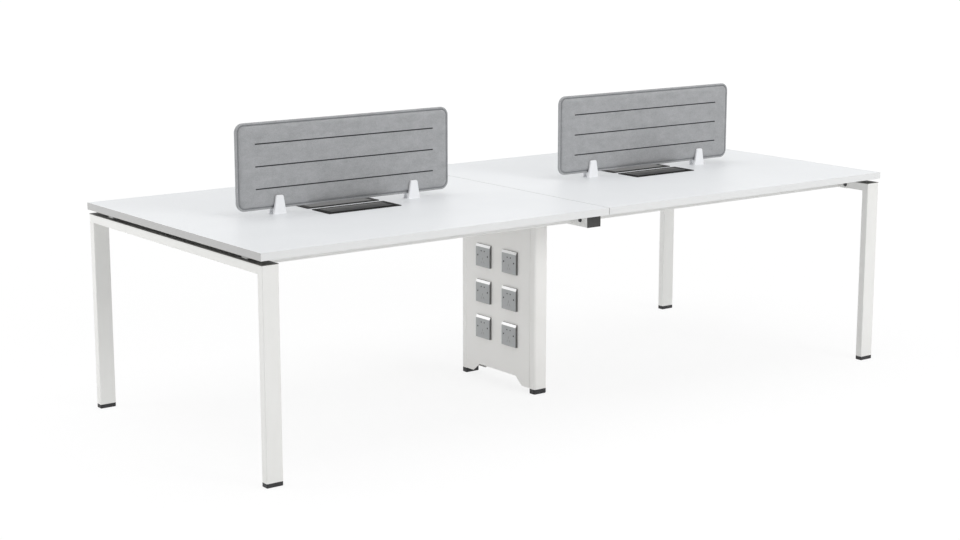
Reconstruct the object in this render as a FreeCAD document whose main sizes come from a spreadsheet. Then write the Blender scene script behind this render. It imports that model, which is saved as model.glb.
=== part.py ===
import FreeCAD, Part
import os
import re
import Sketcher

# Four-person bench desk: two boards on welded end frames, long beams and a cable-riser leg, with a felt
# screen and two flip-lid cable boxes in the middle of each board. Millimetres, +Z up, X along the desk,
# Y across it, origin on the floor under the centre of the desk.

SIZES = {
    # whole desk
    "desk_length": 2800,
    "desk_depth": 1200,
    "desk_height": 750,
    # boards
    "top_thickness": 25,
    "top_joint": 2,
    "edge_band": 1,
    # end frames of mitred tube
    "tube_width": 60,
    "tube_depth": 30,
    "tube_wall": 2,
    "tube_corner": 3,
    "end_inset": 5,
    "side_inset": 3,
    "frame_gap": 14,
    "strip_thickness": 1.5,
    # levelling feet
    "foot_height": 15,
    "foot_round": 3,
    "stud_diameter": 8,
    "stud_length": 34,
    "stud_clearance": 0.05,
    "insert_length": 20,
    "insert_clearance": 0.1,
    # long beams and their bolted end plates
    "beam_width": 60,
    "beam_setback": 153,
    "flange_length": 150,
    "flange_thickness": 4,
    "bolt_spacing": 132,
    "bolt_diameter": 8,
    "bolt_clearance": 0.3,
    "bolt_head": 14,
    "head_height": 5,
    "bolt_bite": 8,
    # cross beam under the joint of the boards
    "centre_width": 60,
    "centre_height": 40,
    "centre_setback": 81,
    "cap_thickness": 3,
    "cap_plug": 15,
    "cap_clearance": 0.2,
    "cap_round": 1.5,
    # spacers and screws under the boards
    "spacer_length": 36,
    "spacer_width": 25,
    "spacer_setback": 138,
    "screw_diameter": 5,
    "screw_clearance": 0.2,
    "screw_head": 10,
    "screw_head_height": 3,
    "screw_bite": 16,
    # cable-riser leg
    "riser_depth": 450,
    "riser_foot_height": 19,
    "column_corner": 10,
    "plate_length": 95,
    "plate_thickness": 5,
    "plate_bolt_reach": 62,
    "plate_bolt_spacing": 34,
    "panel_thickness": 1.5,
    "panel_return": 15,
    "panel_clearance": 0.3,
    "panel_bend": 1.2,
    "panel_toe": 1,
    "panel_top_gap": 38,
    "notch_rise": 31,
    "notch_top": 224,
    "notch_bottom": 300,
    "notch_round": 6,
    # sockets on the riser leg
    "socket_size": 86,
    "socket_thickness": 9,
    "socket_edge": 5,
    "socket_bevel": 10,
    "socket_round": 1,
    "socket_pitch": 138,
    "socket_spacing": 160,
    "pin_diameter": 5.5,
    "pin_spacing": 19,
    "pin_rise": 18,
    "pin_depth": 6,
    "slot_width": 2.2,
    "slot_length": 8,
    "slot_slant": 3,
    "slot_spacing": 14,
    "slot_drop": 24,
    "earth_drop": 11,
    "plate_screw": 3.5,
    "plate_screw_head": 6,
    "plate_screw_rise": 1,
    "plate_screw_spacing": 60,
    "back_box_size": 68,
    "back_box_depth": 32,
    "back_box_wall": 2,
    # felt screens
    "screen_length": 880,
    "screen_height": 300,
    "screen_thickness": 20,
    "screen_lift": 18,
    "screen_corner": 31,
    "rim_width": 14,
    "rim_thickness": 10,
    "rim_round": 3,
    "field_round": 4.5,
    "groove_length": 736,
    "groove_width": 4.5,
    "groove_depth": 3,
    "groove_pitch": 77,
    # screen brackets
    "bracket_spacing": 558,
    "bracket_base": 50,
    "bracket_tip": 28,
    "bracket_height": 65,
    "jaw_thickness": 8,
    "neck_width": 26,
    "jaw_round": 7,
    "bracket_round": 2.5,
    "pad_thickness": 2,
    "pad_width": 24,
    "pad_height": 22,
    "pad_rise": 22,
    "bracket_bolt": 6,
    "bracket_bolt_head": 14,
    "bracket_bolt_head_height": 4,
    "bracket_bolt_bite": 12,
    # cable boxes with flip lids
    "box_length": 300,
    "box_depth": 114,
    "box_spacing": 26,
    "bezel_thickness": 2.5,
    "bezel_lap": 5,
    "bezel_end": 22,
    "bezel_front": 9,
    "bezel_corner": 3,
    "bezel_round": 1,
    "collar_wall": 2,
    "collar_drop": 35,
    "collar_clearance": 1,
    "ledge_width": 4,
    "ledge_thickness": 2,
    "lid_thickness": 3,
    "lid_gap": 0.6,
    "lid_round": 1,
    "hinge_margin": 15,
    "hinge_pin": 3,
    "pin_length": 26,
    "pin_grip": 11,
    "pin_clearance": 0.05,
    "lug_depth": 11,
    "lug_drop": 6,
    "brush_width": 10,
    "brush_gap": 0.4,
    "brush_drop": 8,
    "brush_rise": 1.5,
    # cable trays under the boards
    "tray_length": 1040,
    "tray_width": 264,
    "tray_drop": 88,
    "tray_sheet": 1.5,
    "tray_lip": 20,
    "tray_gap": 40,
    "tray_screw_inset": 70,
    "tray_slot_length": 60,
    "tray_slot_width": 12,
}
TRAY_SLOTS = 7

doc = FreeCAD.newDocument("BenchDesk")
sheet = doc.addObject("Spreadsheet::Sheet", "Sizes")
for row, (size_name, size) in enumerate(SIZES.items(), start=1):
    sheet.set(f"A{row}", str(size))
    sheet.setAlias(f"A{row}", size_name)
doc.recompute()

# Places that several pieces share, worked out from the sheet.
UNDERSIDE = "(desk_height - top_thickness)"
TUBE_TOP = f"({UNDERSIDE} - frame_gap - strip_thickness)"
BOARD_LENGTH = "(desk_length / 2 - top_joint / 2)"
BOARD_X = "(desk_length / 4 + top_joint / 4)"
FRAME_Y = "(desk_depth / 2 - side_inset)"
RAIL_X = "(desk_length / 2 - end_inset - tube_width / 2)"
BEAM_LENGTH = "(desk_length / 2 - end_inset - tube_width - centre_width / 2)"
BEAM_X = f"(centre_width / 2 + {BEAM_LENGTH} / 2)"
BEAM_Y = "(desk_depth / 2 - beam_setback - beam_width / 2)"
CENTRE_Y = "(desk_depth / 2 - centre_setback)"
CENTRE_BOTTOM = f"({TUBE_TOP} - centre_height)"
SPACER_Y = "(desk_depth / 2 - spacer_setback)"
CENTRE_SPACER_X = "(top_joint / 2 + edge_band + spacer_width / 2)"
COLUMN_HEIGHT = f"({CENTRE_BOTTOM} - plate_thickness - riser_foot_height)"
COLUMN_Y = "(riser_depth / 2)"
PLATE_BOLT_Y = f"({COLUMN_Y} - plate_bolt_reach)"
PANEL_HALF = "(riser_depth / 2 - tube_depth - panel_clearance)"
PANEL_BOTTOM = "(riser_foot_height + panel_toe)"
PANEL_TOP = f"({CENTRE_BOTTOM} - panel_top_gap)"
SOCKET_ROW = f"(({PANEL_BOTTOM} + notch_rise + {PANEL_TOP}) / 2)"
BACK_BOX_HOLE = "(back_box_size + 2 * panel_clearance)"
BOX_Y = "(box_spacing / 2 + box_depth / 2)"
CUTOUT_LENGTH = "(box_length - 2 * bezel_lap)"
CUTOUT_DEPTH = "(box_depth - 2 * bezel_lap)"
COLLAR_LENGTH = f"({CUTOUT_LENGTH} - 2 * collar_clearance)"
COLLAR_DEPTH = f"({CUTOUT_DEPTH} - 2 * collar_clearance)"
COLLAR_INNER_X = f"({COLLAR_LENGTH} / 2 - collar_wall)"
COLLAR_INNER_Y = f"({COLLAR_DEPTH} / 2 - collar_wall)"
MOUTH_X = "(box_length / 2 - bezel_end)"
MOUTH_FRONT = "(box_depth / 2 - bezel_front)"
LID_FRONT = f"({MOUTH_FRONT} - brush_width)"
LID_BOTTOM = "(bezel_thickness - lid_thickness)"
HINGE_Y = "(box_depth / 2 - hinge_margin)"
MOUTH_BACK = f"({HINGE_Y} + lid_thickness + lid_gap)"
TRAY_X = "(centre_width / 2 + tray_gap + tray_length / 2)"
TRAY_SCREW_X = "(tray_length / 2 - tray_screw_inset)"
TRAY_LIP_Y = "(tray_width / 2 + tray_sheet + tray_lip / 2)"
JAW_Y = "(screen_thickness / 2 + pad_thickness)"

BOLT_HOLE = "(bolt_diameter + 2 * bolt_clearance)"
SCREW_HOLE = "(screw_diameter + 2 * screw_clearance)"
BRACKET_HOLE = "(bracket_bolt + 2 * screw_clearance)"

X_AXIS = FreeCAD.Vector(1, 0, 0)
Y_AXIS = FreeCAD.Vector(0, 1, 0)
Z_AXIS = FreeCAD.Vector(0, 0, 1)
SIDES = (-1, 1)
nodes = []


# Expressions in the words of the sheet.
def sized(text):
    return re.sub(r"[a-z]+(_[a-z]+)+", r"Sizes.\g<0>", text)


def value(text):
    return float(sheet.evalExpression(sized(text)))


def near(number, text):
    return abs(number - value(text)) < 0.01


# Sketches and the features made from them.
def new_body(name):
    body = doc.addObject("PartDesign::Body", name)
    body.Label = name
    return body


def new_sketch(body, plane, offset="0"):
    sketch = body.newObject("Sketcher::SketchObject", "Sketch")
    support = [item for item in body.Origin.OriginFeatures if item.Role == plane][0]
    sketch.AttachmentSupport = [(support, "")]
    sketch.MapMode = "FlatFace"
    sketch.setExpression("AttachmentOffset.Base.z", sized(offset))
    return sketch


def tie(sketch, kind, geometry, point, text):
    number = sketch.addConstraint(Sketcher.Constraint(kind, -1, 1, geometry, point, value(text)))
    sketch.setExpression(f"Constraints[{number}]", sized(text))


def add_outline(sketch, corners):
    first = sketch.GeometryCount
    count = len(corners)
    points = [FreeCAD.Vector(value(x), value(y), 0) for x, y in corners]
    for index in range(count):
        line = Part.LineSegment(points[index], points[(index + 1) % count])
        sketch.addGeometry(line, False)
    for index, (x, y) in enumerate(corners):
        following = first + (index + 1) % count
        sketch.addConstraint(Sketcher.Constraint("Coincident", first + index, 2, following, 1))
        tie(sketch, "DistanceX", first + index, 1, x)
        tie(sketch, "DistanceY", first + index, 1, y)


def add_rectangle(sketch, width, height, x="0", y="0"):
    left = f"{x} - {width} / 2"
    right = f"{x} + {width} / 2"
    low = f"{y} - {height} / 2"
    high = f"{y} + {height} / 2"
    add_outline(sketch, [(left, low), (right, low), (right, high), (left, high)])


def add_circle(sketch, diameter, x="0", y="0"):
    centre = FreeCAD.Vector(value(x), value(y), 0)
    index = sketch.addGeometry(Part.Circle(centre, Z_AXIS, value(diameter) / 2), False)
    tie(sketch, "DistanceX", index, 3, x)
    tie(sketch, "DistanceY", index, 3, y)
    number = sketch.addConstraint(Sketcher.Constraint("Diameter", index, value(diameter)))
    sketch.setExpression(f"Constraints[{number}]", sized(diameter))


def pad(body, sketch, length, side="One side", back=False):
    feature = body.newObject("PartDesign::Pad", "Pad")
    feature.Profile = sketch
    feature.SideType = side
    feature.Reversed = back
    feature.setExpression("Length", sized(length))


def pocket(body, sketch, depth=None, back=False):
    doc.recompute()
    before = body.Shape.Volume
    feature = body.newObject("PartDesign::Pocket", "Pocket")
    feature.Profile = sketch
    if depth is None:
        feature.SideType = "Symmetric"
        feature.Type = "ThroughAll"
    else:
        feature.Reversed = back
        feature.setExpression("Length", sized(depth))
    doc.recompute()
    if body.Shape.Volume > before - 0.01:
        raise RuntimeError(f"a pocket of {body.Label} cuts nothing")


def hollow(body, sketch, width):
    doc.recompute()
    feature = body.newObject("PartDesign::Pocket", "Hollow")
    feature.Profile = sketch
    feature.SideType = "Symmetric"
    feature.setExpression("Length", sized(width))


def round_edges(body, radius, chosen):
    doc.recompute()
    base = body.Tip
    names = [f"Edge{index}" for index, edge in enumerate(base.Shape.Edges, start=1) if chosen(edge)]
    feature = body.newObject("PartDesign::Fillet", "Round")
    feature.Base = (base, names)
    feature.setExpression("Radius", sized(radius))
    doc.recompute()


def along(edge, axis):
    return isinstance(edge.Curve, Part.Line) and abs(edge.tangentAt(edge.FirstParameter).dot(axis)) > 0.999


# Turned pieces such as screws and pins, made of primitives.
def new_cylinder(name, diameter, height, start="0"):
    cylinder = doc.addObject("Part::Cylinder", name)
    cylinder.setExpression("Radius", sized(f"{diameter} / 2"))
    cylinder.setExpression("Height", sized(height))
    cylinder.setExpression("Placement.Base.z", sized(start))
    return cylinder


def new_fuse(name, base, tool):
    fuse = doc.addObject("Part::Fuse", name)
    fuse.Base = base
    fuse.Tool = tool
    return fuse


def new_box(name, length, width, height):
    box = doc.addObject("Part::Box", name)
    box.setExpression("Length", sized(length))
    box.setExpression("Width", sized(width))
    box.setExpression("Height", sized(height))
    return box


# Copies of a piece, each with its own place, turned about an axis by an angle in degrees.
def copy_of(piece, name, x="0", y="0", z="0", turn=0, axis=Z_AXIS):
    link = doc.addObject("App::Link", name)
    link.LinkedObject = piece
    link.LinkTransform = True
    link.Label = name
    link.Placement = FreeCAD.Placement(FreeCAD.Vector(), FreeCAD.Rotation(axis, turn))
    link.setExpression("Placement.Base.x", sized(x))
    link.setExpression("Placement.Base.y", sized(y))
    link.setExpression("Placement.Base.z", sized(z))
    return link


def node(piece, name, x="0", y="0", z="0", turn=0):
    nodes.append(copy_of(piece, name, x, y, z, turn))


def group_node(name, copies):
    group = doc.addObject("Part::Compound", name)
    group.Label = name
    group.Links = copies
    nodes.append(group)


def half_turn(side):
    return 0 if side < 0 else 180


# Boards: chipboard with two cut-outs for cable boxes, holes for the bracket bolts and pilot holes below.
FRAME_SPOTS = [(RAIL_X, SPACER_Y), (BEAM_X, BEAM_Y)]
CENTRE_SPOTS = [(CENTRE_SPACER_X, SPACER_Y)]
TRAY_SPOTS = [(f"({TRAY_X} + {side} * {TRAY_SCREW_X})", TRAY_LIP_Y) for side in SIDES]


def make_board():
    body = new_body("board")
    outline = new_sketch(body, "XY_Plane")
    add_rectangle(outline, f"({BOARD_LENGTH} - 2 * edge_band)", "(desk_depth - 2 * edge_band)")
    pad(body, outline, "top_thickness")
    cutouts = new_sketch(body, "XY_Plane")
    for side in SIDES:
        add_rectangle(cutouts, CUTOUT_LENGTH, CUTOUT_DEPTH, y=f"{side} * {BOX_Y}")
        add_circle(cutouts, BRACKET_HOLE, x=f"{side} * bracket_spacing / 2")
    pocket(body, cutouts)
    pilots = new_sketch(body, "XY_Plane")
    for x, y in FRAME_SPOTS + CENTRE_SPOTS + TRAY_SPOTS:
        for side in SIDES:
            add_circle(pilots, SCREW_HOLE, x=f"{BOARD_X} - {x}", y=f"{side} * {y}")
    pocket(body, pilots, "screw_bite + screw_clearance", back=True)
    return body


board = make_board()
for side, hand in zip(SIDES, ("left", "right")):
    node(board, f"tabletop_{hand}", x=f"{side} * {BOARD_X}", z=UNDERSIDE, turn=half_turn(side))


# Edge bands: plastic strips glued round the four edges of each board.
def make_edge_bands():
    long_band = new_box("long_band", BOARD_LENGTH, "edge_band", "top_thickness")
    short_band = new_box("short_band", "edge_band", "(desk_depth - 2 * edge_band)", "top_thickness")
    strips = []
    for side in SIDES:
        left = f"({side} * {BOARD_X} - {BOARD_LENGTH} / 2)"
        for y in ("-desk_depth / 2", "desk_depth / 2 - edge_band"):
            strips.append(copy_of(long_band, "band", x=left, y=y, z=UNDERSIDE))
        for x in (left, f"{left} + {BOARD_LENGTH} - edge_band"):
            strips.append(copy_of(short_band, "band", x=x, y="edge_band - desk_depth / 2", z=UNDERSIDE))
    return strips


group_node("edge_bands", make_edge_bands())


# End rails: tube mitred at both ends, drilled for the beam bolts on its inner side (+X here).
def make_end_rail():
    body = new_body("end_rail")
    outer = new_sketch(body, "YZ_Plane")
    short = f"({FRAME_Y} - tube_depth)"
    add_outline(outer, [(f"-{FRAME_Y}", "0"), (f"-{short}", "-tube_depth"),
                        (short, "-tube_depth"), (FRAME_Y, "0")])
    pad(body, outer, "tube_width", "Symmetric")
    inner = new_sketch(body, "YZ_Plane")
    top = f"({FRAME_Y} - tube_wall)"
    foot = f"({FRAME_Y} - tube_depth + tube_wall)"
    low = "tube_wall - tube_depth"
    add_outline(inner, [(f"-{top}", "-tube_wall"), (f"-{foot}", low), (foot, low), (top, "-tube_wall")])
    hollow(body, inner, "(tube_width - 2 * tube_wall)")
    round_edges(body, "tube_corner",
                lambda edge: along(edge, Y_AXIS) and near(abs(edge.CenterOfMass.x), "tube_width / 2"))
    bolts = new_sketch(body, "YZ_Plane")
    for side in SIDES:
        for end in SIDES:
            bolt_y = f"{side} * ({BEAM_Y} + {end} * bolt_spacing / 2)"
            add_circle(bolts, BOLT_HOLE, bolt_y, "-tube_depth / 2")
    pocket(body, bolts, "tube_width", back=True)
    screws = new_sketch(body, "XY_Plane")
    for side in SIDES:
        add_circle(screws, SCREW_HOLE, y=f"{side} * {SPACER_Y}")
    pocket(body, screws)
    return body


# Legs: tube mitred at the top to meet the rail, open at the bottom; its outer face stands at y = 0.
def make_leg():
    body = new_body("leg")
    foot = f"foot_height - {TUBE_TOP}"
    outer = new_sketch(body, "YZ_Plane")
    add_outline(outer, [("0", foot), ("tube_depth", foot), ("tube_depth", "-tube_depth"), ("0", "0")])
    pad(body, outer, "tube_width", "Symmetric")
    inner = new_sketch(body, "YZ_Plane")
    far = "tube_depth - tube_wall"
    add_outline(inner, [("tube_wall", foot), (far, foot), (far, f"-({far})"), ("tube_wall", "-tube_wall")])
    hollow(body, inner, "(tube_width - 2 * tube_wall)")
    round_edges(body, "tube_corner",
                lambda edge: along(edge, Z_AXIS) and near(abs(edge.CenterOfMass.x), "tube_width / 2"))
    return body


end_rail = make_end_rail()
leg = make_leg()
for side, hand in zip(SIDES, ("left", "right")):
    rail_x = f"{side} * {RAIL_X}"
    node(end_rail, f"{hand}_end_rail", x=rail_x, z=TUBE_TOP, turn=half_turn(side))
    for end, place in zip(SIDES, ("front", "back")):
        node(leg, f"{hand}_{place}_leg", x=rail_x, y=f"{end} * {FRAME_Y}", z=TUBE_TOP, turn=half_turn(end))


# Cover strips: dark plastic along the top of each end frame, under the spacers.
def make_strip():
    body = new_body("cover_strip")
    outline = new_sketch(body, "XY_Plane")
    add_rectangle(outline, "tube_width", f"(2 * {FRAME_Y})")
    for side in SIDES:
        add_circle(outline, SCREW_HOLE, y=f"{side} * {SPACER_Y}")
    pad(body, outline, "strip_thickness")
    return body


strip = make_strip()
group_node("rail_cover_strips",
           [copy_of(strip, "strip", x=f"{side} * {RAIL_X}", z=TUBE_TOP) for side in SIDES])


# Spacers: plastic blocks with a screw hole, taller where there is no cover strip.
def make_spacer(name, height):
    body = new_body(name)
    outline = new_sketch(body, "XY_Plane")
    add_rectangle(outline, "spacer_width", "spacer_length")
    add_circle(outline, SCREW_HOLE)
    pad(body, outline, height)
    return body


def four_copies(piece, name, spots, z):
    copies = []
    for x, y in spots:
        for side in SIDES:
            for end in SIDES:
                copies.append(copy_of(piece, name, x=f"{side} * {x}", y=f"{end} * {y}", z=z))
    return copies


rail_spacer = make_spacer("rail_spacer", "frame_gap")
beam_spacer = make_spacer("beam_spacer", "(frame_gap + strip_thickness)")
group_node("top_spacers",
           four_copies(rail_spacer, "spacer", FRAME_SPOTS[:1], f"{TUBE_TOP} + strip_thickness")
           + four_copies(beam_spacer, "spacer", FRAME_SPOTS[1:] + CENTRE_SPOTS, TUBE_TOP))


# Long beams: tube with a welded end plate at each end, bolted between end rail and cross beam.
def make_long_beam():
    body = new_body("long_beam")
    section = new_sketch(body, "YZ_Plane")
    middle = "-tube_depth / 2"
    add_rectangle(section, "beam_width", "tube_depth", y=middle)
    add_rectangle(section, "(beam_width - 2 * tube_wall)", "(tube_depth - 2 * tube_wall)", y=middle)
    pad(body, section, f"({BEAM_LENGTH} - 2 * flange_thickness)", "Symmetric")
    round_edges(body, "tube_corner",
                lambda edge: along(edge, X_AXIS) and near(abs(edge.CenterOfMass.y), "beam_width / 2"))
    for side in SIDES:
        plate = new_sketch(body, "YZ_Plane", f"{side} * ({BEAM_LENGTH} / 2 - flange_thickness)")
        add_rectangle(plate, "flange_length", "tube_depth", y=middle)
        for end in SIDES:
            add_circle(plate, BOLT_HOLE, x=f"{end} * bolt_spacing / 2", y=middle)
        pad(body, plate, "flange_thickness", back=side < 0)
    screws = new_sketch(body, "XY_Plane")
    add_circle(screws, SCREW_HOLE)
    pocket(body, screws)
    return body


long_beam = make_long_beam()
for side, hand in zip(SIDES, ("left", "right")):
    for end, place in zip(SIDES, ("front", "back")):
        node(long_beam, f"{hand}_{place}_beam", x=f"{side} * {BEAM_X}", y=f"{end} * {BEAM_Y}", z=TUBE_TOP)


# Hex bolts: head on the +X side, shank towards -X through a plate and a tube wall.
def make_bolt(name, plate):
    head = doc.addObject("Part::Prism", f"{name}_head")
    head.setExpression("Circumradius", sized("bolt_head / 2"))
    head.setExpression("Height", sized("head_height"))
    shank_length = f"({plate} + tube_wall + bolt_bite)"
    shank = new_cylinder(f"{name}_shank", "bolt_diameter", shank_length, f"-{shank_length}")
    bolt = new_fuse(name, head, shank)
    bolt.Placement = FreeCAD.Placement(FreeCAD.Vector(), FreeCAD.Rotation(Y_AXIS, 90))
    return bolt


def make_bolts():
    flange_bolt = make_bolt("flange_bolt", "flange_thickness")
    plate_bolt = make_bolt("plate_bolt", "plate_thickness")
    copies = []
    height = f"{TUBE_TOP} - tube_depth / 2"
    for side in SIDES:
        for end in SIDES:
            for reach in SIDES:
                y = f"{end} * ({BEAM_Y} + {reach} * bolt_spacing / 2)"
                outer = f"{side} * ({BEAM_X} + {BEAM_LENGTH} / 2 - flange_thickness)"
                inner = f"{side} * ({BEAM_X} - {BEAM_LENGTH} / 2 + flange_thickness)"
                copies.append(copy_of(flange_bolt, "bolt", outer, y, height, half_turn(side)))
                copies.append(copy_of(flange_bolt, "bolt", inner, y, height, half_turn(-side)))
            x = f"{side} * plate_bolt_spacing / 2"
            y = f"{end} * {PLATE_BOLT_Y}"
            z = f"{CENTRE_BOTTOM} - plate_thickness"
            copies.append(copy_of(plate_bolt, "bolt", x, y, z, 90, Y_AXIS))
    return copies


group_node("frame_bolts", make_bolts())


# Cross beam: tube under the joint of the boards, its top level with the other tubes.
def make_centre_beam():
    body = new_body("cross_tube")
    middle = "-centre_height / 2"
    section = new_sketch(body, "XZ_Plane")
    add_rectangle(section, "centre_width", "centre_height", y=middle)
    add_rectangle(section, "(centre_width - 2 * tube_wall)", "(centre_height - 2 * tube_wall)", y=middle)
    pad(body, section, f"(2 * {CENTRE_Y} - 2 * cap_thickness)", "Symmetric")
    round_edges(body, "tube_corner",
                lambda edge: along(edge, Y_AXIS) and near(abs(edge.CenterOfMass.x), "centre_width / 2"))
    side_holes = new_sketch(body, "YZ_Plane")
    for end in SIDES:
        for reach in SIDES:
            y = f"{end} * ({BEAM_Y} + {reach} * bolt_spacing / 2)"
            add_circle(side_holes, BOLT_HOLE, x=y, y="-tube_depth / 2")
    pocket(body, side_holes)
    low_holes = new_sketch(body, "XY_Plane", middle)
    screw_holes = new_sketch(body, "XY_Plane")
    for side in SIDES:
        for end in SIDES:
            add_circle(low_holes, BOLT_HOLE, f"{side} * plate_bolt_spacing / 2", f"{end} * {PLATE_BOLT_Y}")
            add_circle(screw_holes, SCREW_HOLE, f"{side} * {CENTRE_SPACER_X}", f"{end} * {SPACER_Y}")
    pocket(body, low_holes, "centre_height")
    pocket(body, screw_holes)
    return body


# End caps of the cross beam: a plate over the tube's end and a plug inside it; y = 0 at the tube's end.
def make_cap():
    body = new_body("end_cap")
    middle = "-centre_height / 2"
    plate = new_sketch(body, "XZ_Plane")
    add_rectangle(plate, "centre_width", "centre_height", y=middle)
    pad(body, plate, "cap_thickness")
    round_edges(body, "cap_round", lambda edge: near(edge.CenterOfMass.y, "-cap_thickness"))
    plug = new_sketch(body, "XZ_Plane")
    inside = "2 * tube_wall - 2 * cap_clearance"
    add_rectangle(plug, f"(centre_width - {inside})", f"(centre_height - {inside})", y=middle)
    pad(body, plug, "cap_plug", back=True)
    return body


centre_beam = make_centre_beam()
node(centre_beam, "centre_beam", z=TUBE_TOP)
cap = make_cap()
group_node("centre_beam_caps",
           [copy_of(cap, "cap", y=f"{end} * ({CENTRE_Y} - cap_thickness)", z=TUBE_TOP, turn=half_turn(end))
            for end in SIDES])


# Riser columns: tube with large outer corners and a welded top plate; its outer face stands at y = 0.
def make_column():
    body = new_body("column")
    outer = new_sketch(body, "XY_Plane")
    add_rectangle(outer, "tube_width", "tube_depth", y="tube_depth / 2")
    pad(body, outer, COLUMN_HEIGHT)
    inner = new_sketch(body, "XY_Plane")
    add_rectangle(inner, "(tube_width - 2 * tube_wall)", "(tube_depth - 2 * tube_wall)", y="tube_depth / 2")
    pocket(body, inner)
    round_edges(body, "column_corner - tube_wall",
                lambda edge: along(edge, Z_AXIS) and near(edge.CenterOfMass.y, "tube_wall"))
    round_edges(body, "column_corner", lambda edge: along(edge, Z_AXIS) and near(edge.CenterOfMass.y, "0"))
    round_edges(body, "tube_corner",
                lambda edge: along(edge, Z_AXIS) and near(edge.CenterOfMass.y, "tube_depth"))
    plate = new_sketch(body, "XY_Plane", COLUMN_HEIGHT)
    add_rectangle(plate, "tube_width", "plate_length", y="plate_length / 2")
    for side in SIDES:
        add_circle(plate, BOLT_HOLE, f"{side} * plate_bolt_spacing / 2", "plate_bolt_reach")
    pad(body, plate, "plate_thickness")
    return body


column = make_column()
for end, place in zip(SIDES, ("front", "back")):
    node(column, f"riser_{place}_column", y=f"{end} * {COLUMN_Y}", z="riser_foot_height", turn=half_turn(end))


# Riser panels: sheet steel with folded sides and a notch over the floor, outer face at x = 0.
SOCKET_SPOTS = [(f"{side} * socket_spacing / 2", f"({SOCKET_ROW} + {row} * socket_pitch)")
                for row in (1, 0, -1) for side in SIDES]


def make_panel(name, has_sockets):
    body = new_body(name)
    face = new_sketch(body, "YZ_Plane")
    rise = f"({PANEL_BOTTOM} + notch_rise)"
    add_outline(face, [(f"-{PANEL_HALF}", PANEL_BOTTOM), ("-notch_bottom / 2", PANEL_BOTTOM),
                       ("-notch_top / 2", rise), ("notch_top / 2", rise), ("notch_bottom / 2", PANEL_BOTTOM),
                       (PANEL_HALF, PANEL_BOTTOM), (PANEL_HALF, PANEL_TOP), (f"-{PANEL_HALF}", PANEL_TOP)])
    pad(body, face, "panel_thickness")
    round_edges(body, "notch_round",
                lambda edge: along(edge, X_AXIS) and edge.CenterOfMass.z < value(rise) + 1
                and abs(edge.CenterOfMass.y) < value("notch_bottom / 2") + 1)
    returns = new_sketch(body, "XY_Plane", PANEL_BOTTOM)
    for side in SIDES:
        y = f"{side} * ({PANEL_HALF} - panel_thickness / 2)"
        add_rectangle(returns, "panel_return", "panel_thickness", x="panel_return / 2", y=y)
    pad(body, returns, f"({PANEL_TOP} - {PANEL_BOTTOM})")
    round_edges(body, "panel_bend",
                lambda edge: along(edge, Z_AXIS) and near(edge.CenterOfMass.x, "0")
                and near(abs(edge.CenterOfMass.y), PANEL_HALF))
    if has_sockets:
        holes = new_sketch(body, "YZ_Plane")
        for y, z in SOCKET_SPOTS:
            add_rectangle(holes, BACK_BOX_HOLE, BACK_BOX_HOLE, y, z)
        pocket(body, holes)
    return body


node(make_panel("panel_with_sockets", True), "riser_socket_panel", x="-tube_width / 2")
node(make_panel("panel_plain", False), "riser_plain_panel", x="tube_width / 2", turn=180)


# Levelling feet: a block of the tube's outline with a stud in its top; z = 0 on the floor.
def make_foot(name, height, corner):
    body = new_body(name)
    block = new_sketch(body, "XY_Plane")
    add_rectangle(block, "tube_width", "tube_depth", y="tube_depth / 2")
    pad(body, block, height)
    round_edges(body, corner, lambda edge: along(edge, Z_AXIS) and near(edge.CenterOfMass.y, "0"))
    round_edges(body, "tube_corner",
                lambda edge: along(edge, Z_AXIS) and near(edge.CenterOfMass.y, "tube_depth"))
    round_edges(body, "foot_round", lambda edge: near(edge.CenterOfMass.z, "0"))
    stud = new_sketch(body, "XY_Plane", height)
    add_circle(stud, "stud_diameter", y="tube_depth / 2")
    pad(body, stud, "stud_length")
    return body


# Threaded inserts: plastic plugs in the lower ends of the tubes, bored for the studs.
def make_insert(name, corner):
    body = new_body(name)
    block = new_sketch(body, "XY_Plane")
    inside = "2 * tube_wall - 2 * insert_clearance"
    add_rectangle(block, f"(tube_width - {inside})", f"(tube_depth - {inside})", y="tube_depth / 2")
    add_circle(block, "(stud_diameter + 2 * stud_clearance)", y="tube_depth / 2")
    pad(body, block, "insert_length")
    if corner:
        round_edges(body, corner,
                    lambda edge: along(edge, Z_AXIS)
                    and near(edge.CenterOfMass.y, "tube_wall + insert_clearance"))
    return body


leg_foot = make_foot("leg_foot", "foot_height", "tube_corner")
riser_foot = make_foot("riser_foot", "riser_foot_height", "column_corner")
leg_insert = make_insert("leg_insert", None)
riser_insert = make_insert("riser_insert", "(column_corner - tube_wall)")
inserts = []
for end, place in zip(SIDES, ("front", "back")):
    for side, hand in zip(SIDES, ("left", "right")):
        leg_x = f"{side} * {RAIL_X}"
        leg_y = f"{end} * {FRAME_Y}"
        node(leg_foot, f"foot_{hand}_{place}", leg_x, leg_y, turn=half_turn(end))
        inserts.append(copy_of(leg_insert, "insert", leg_x, leg_y, "foot_height", half_turn(end)))
    column_y = f"{end} * {COLUMN_Y}"
    node(riser_foot, f"foot_riser_{place}", y=column_y, turn=half_turn(end))
    inserts.append(copy_of(riser_insert, "insert", y=column_y, z="riser_foot_height", turn=half_turn(end)))
group_node("tube_inserts", inserts)


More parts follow.
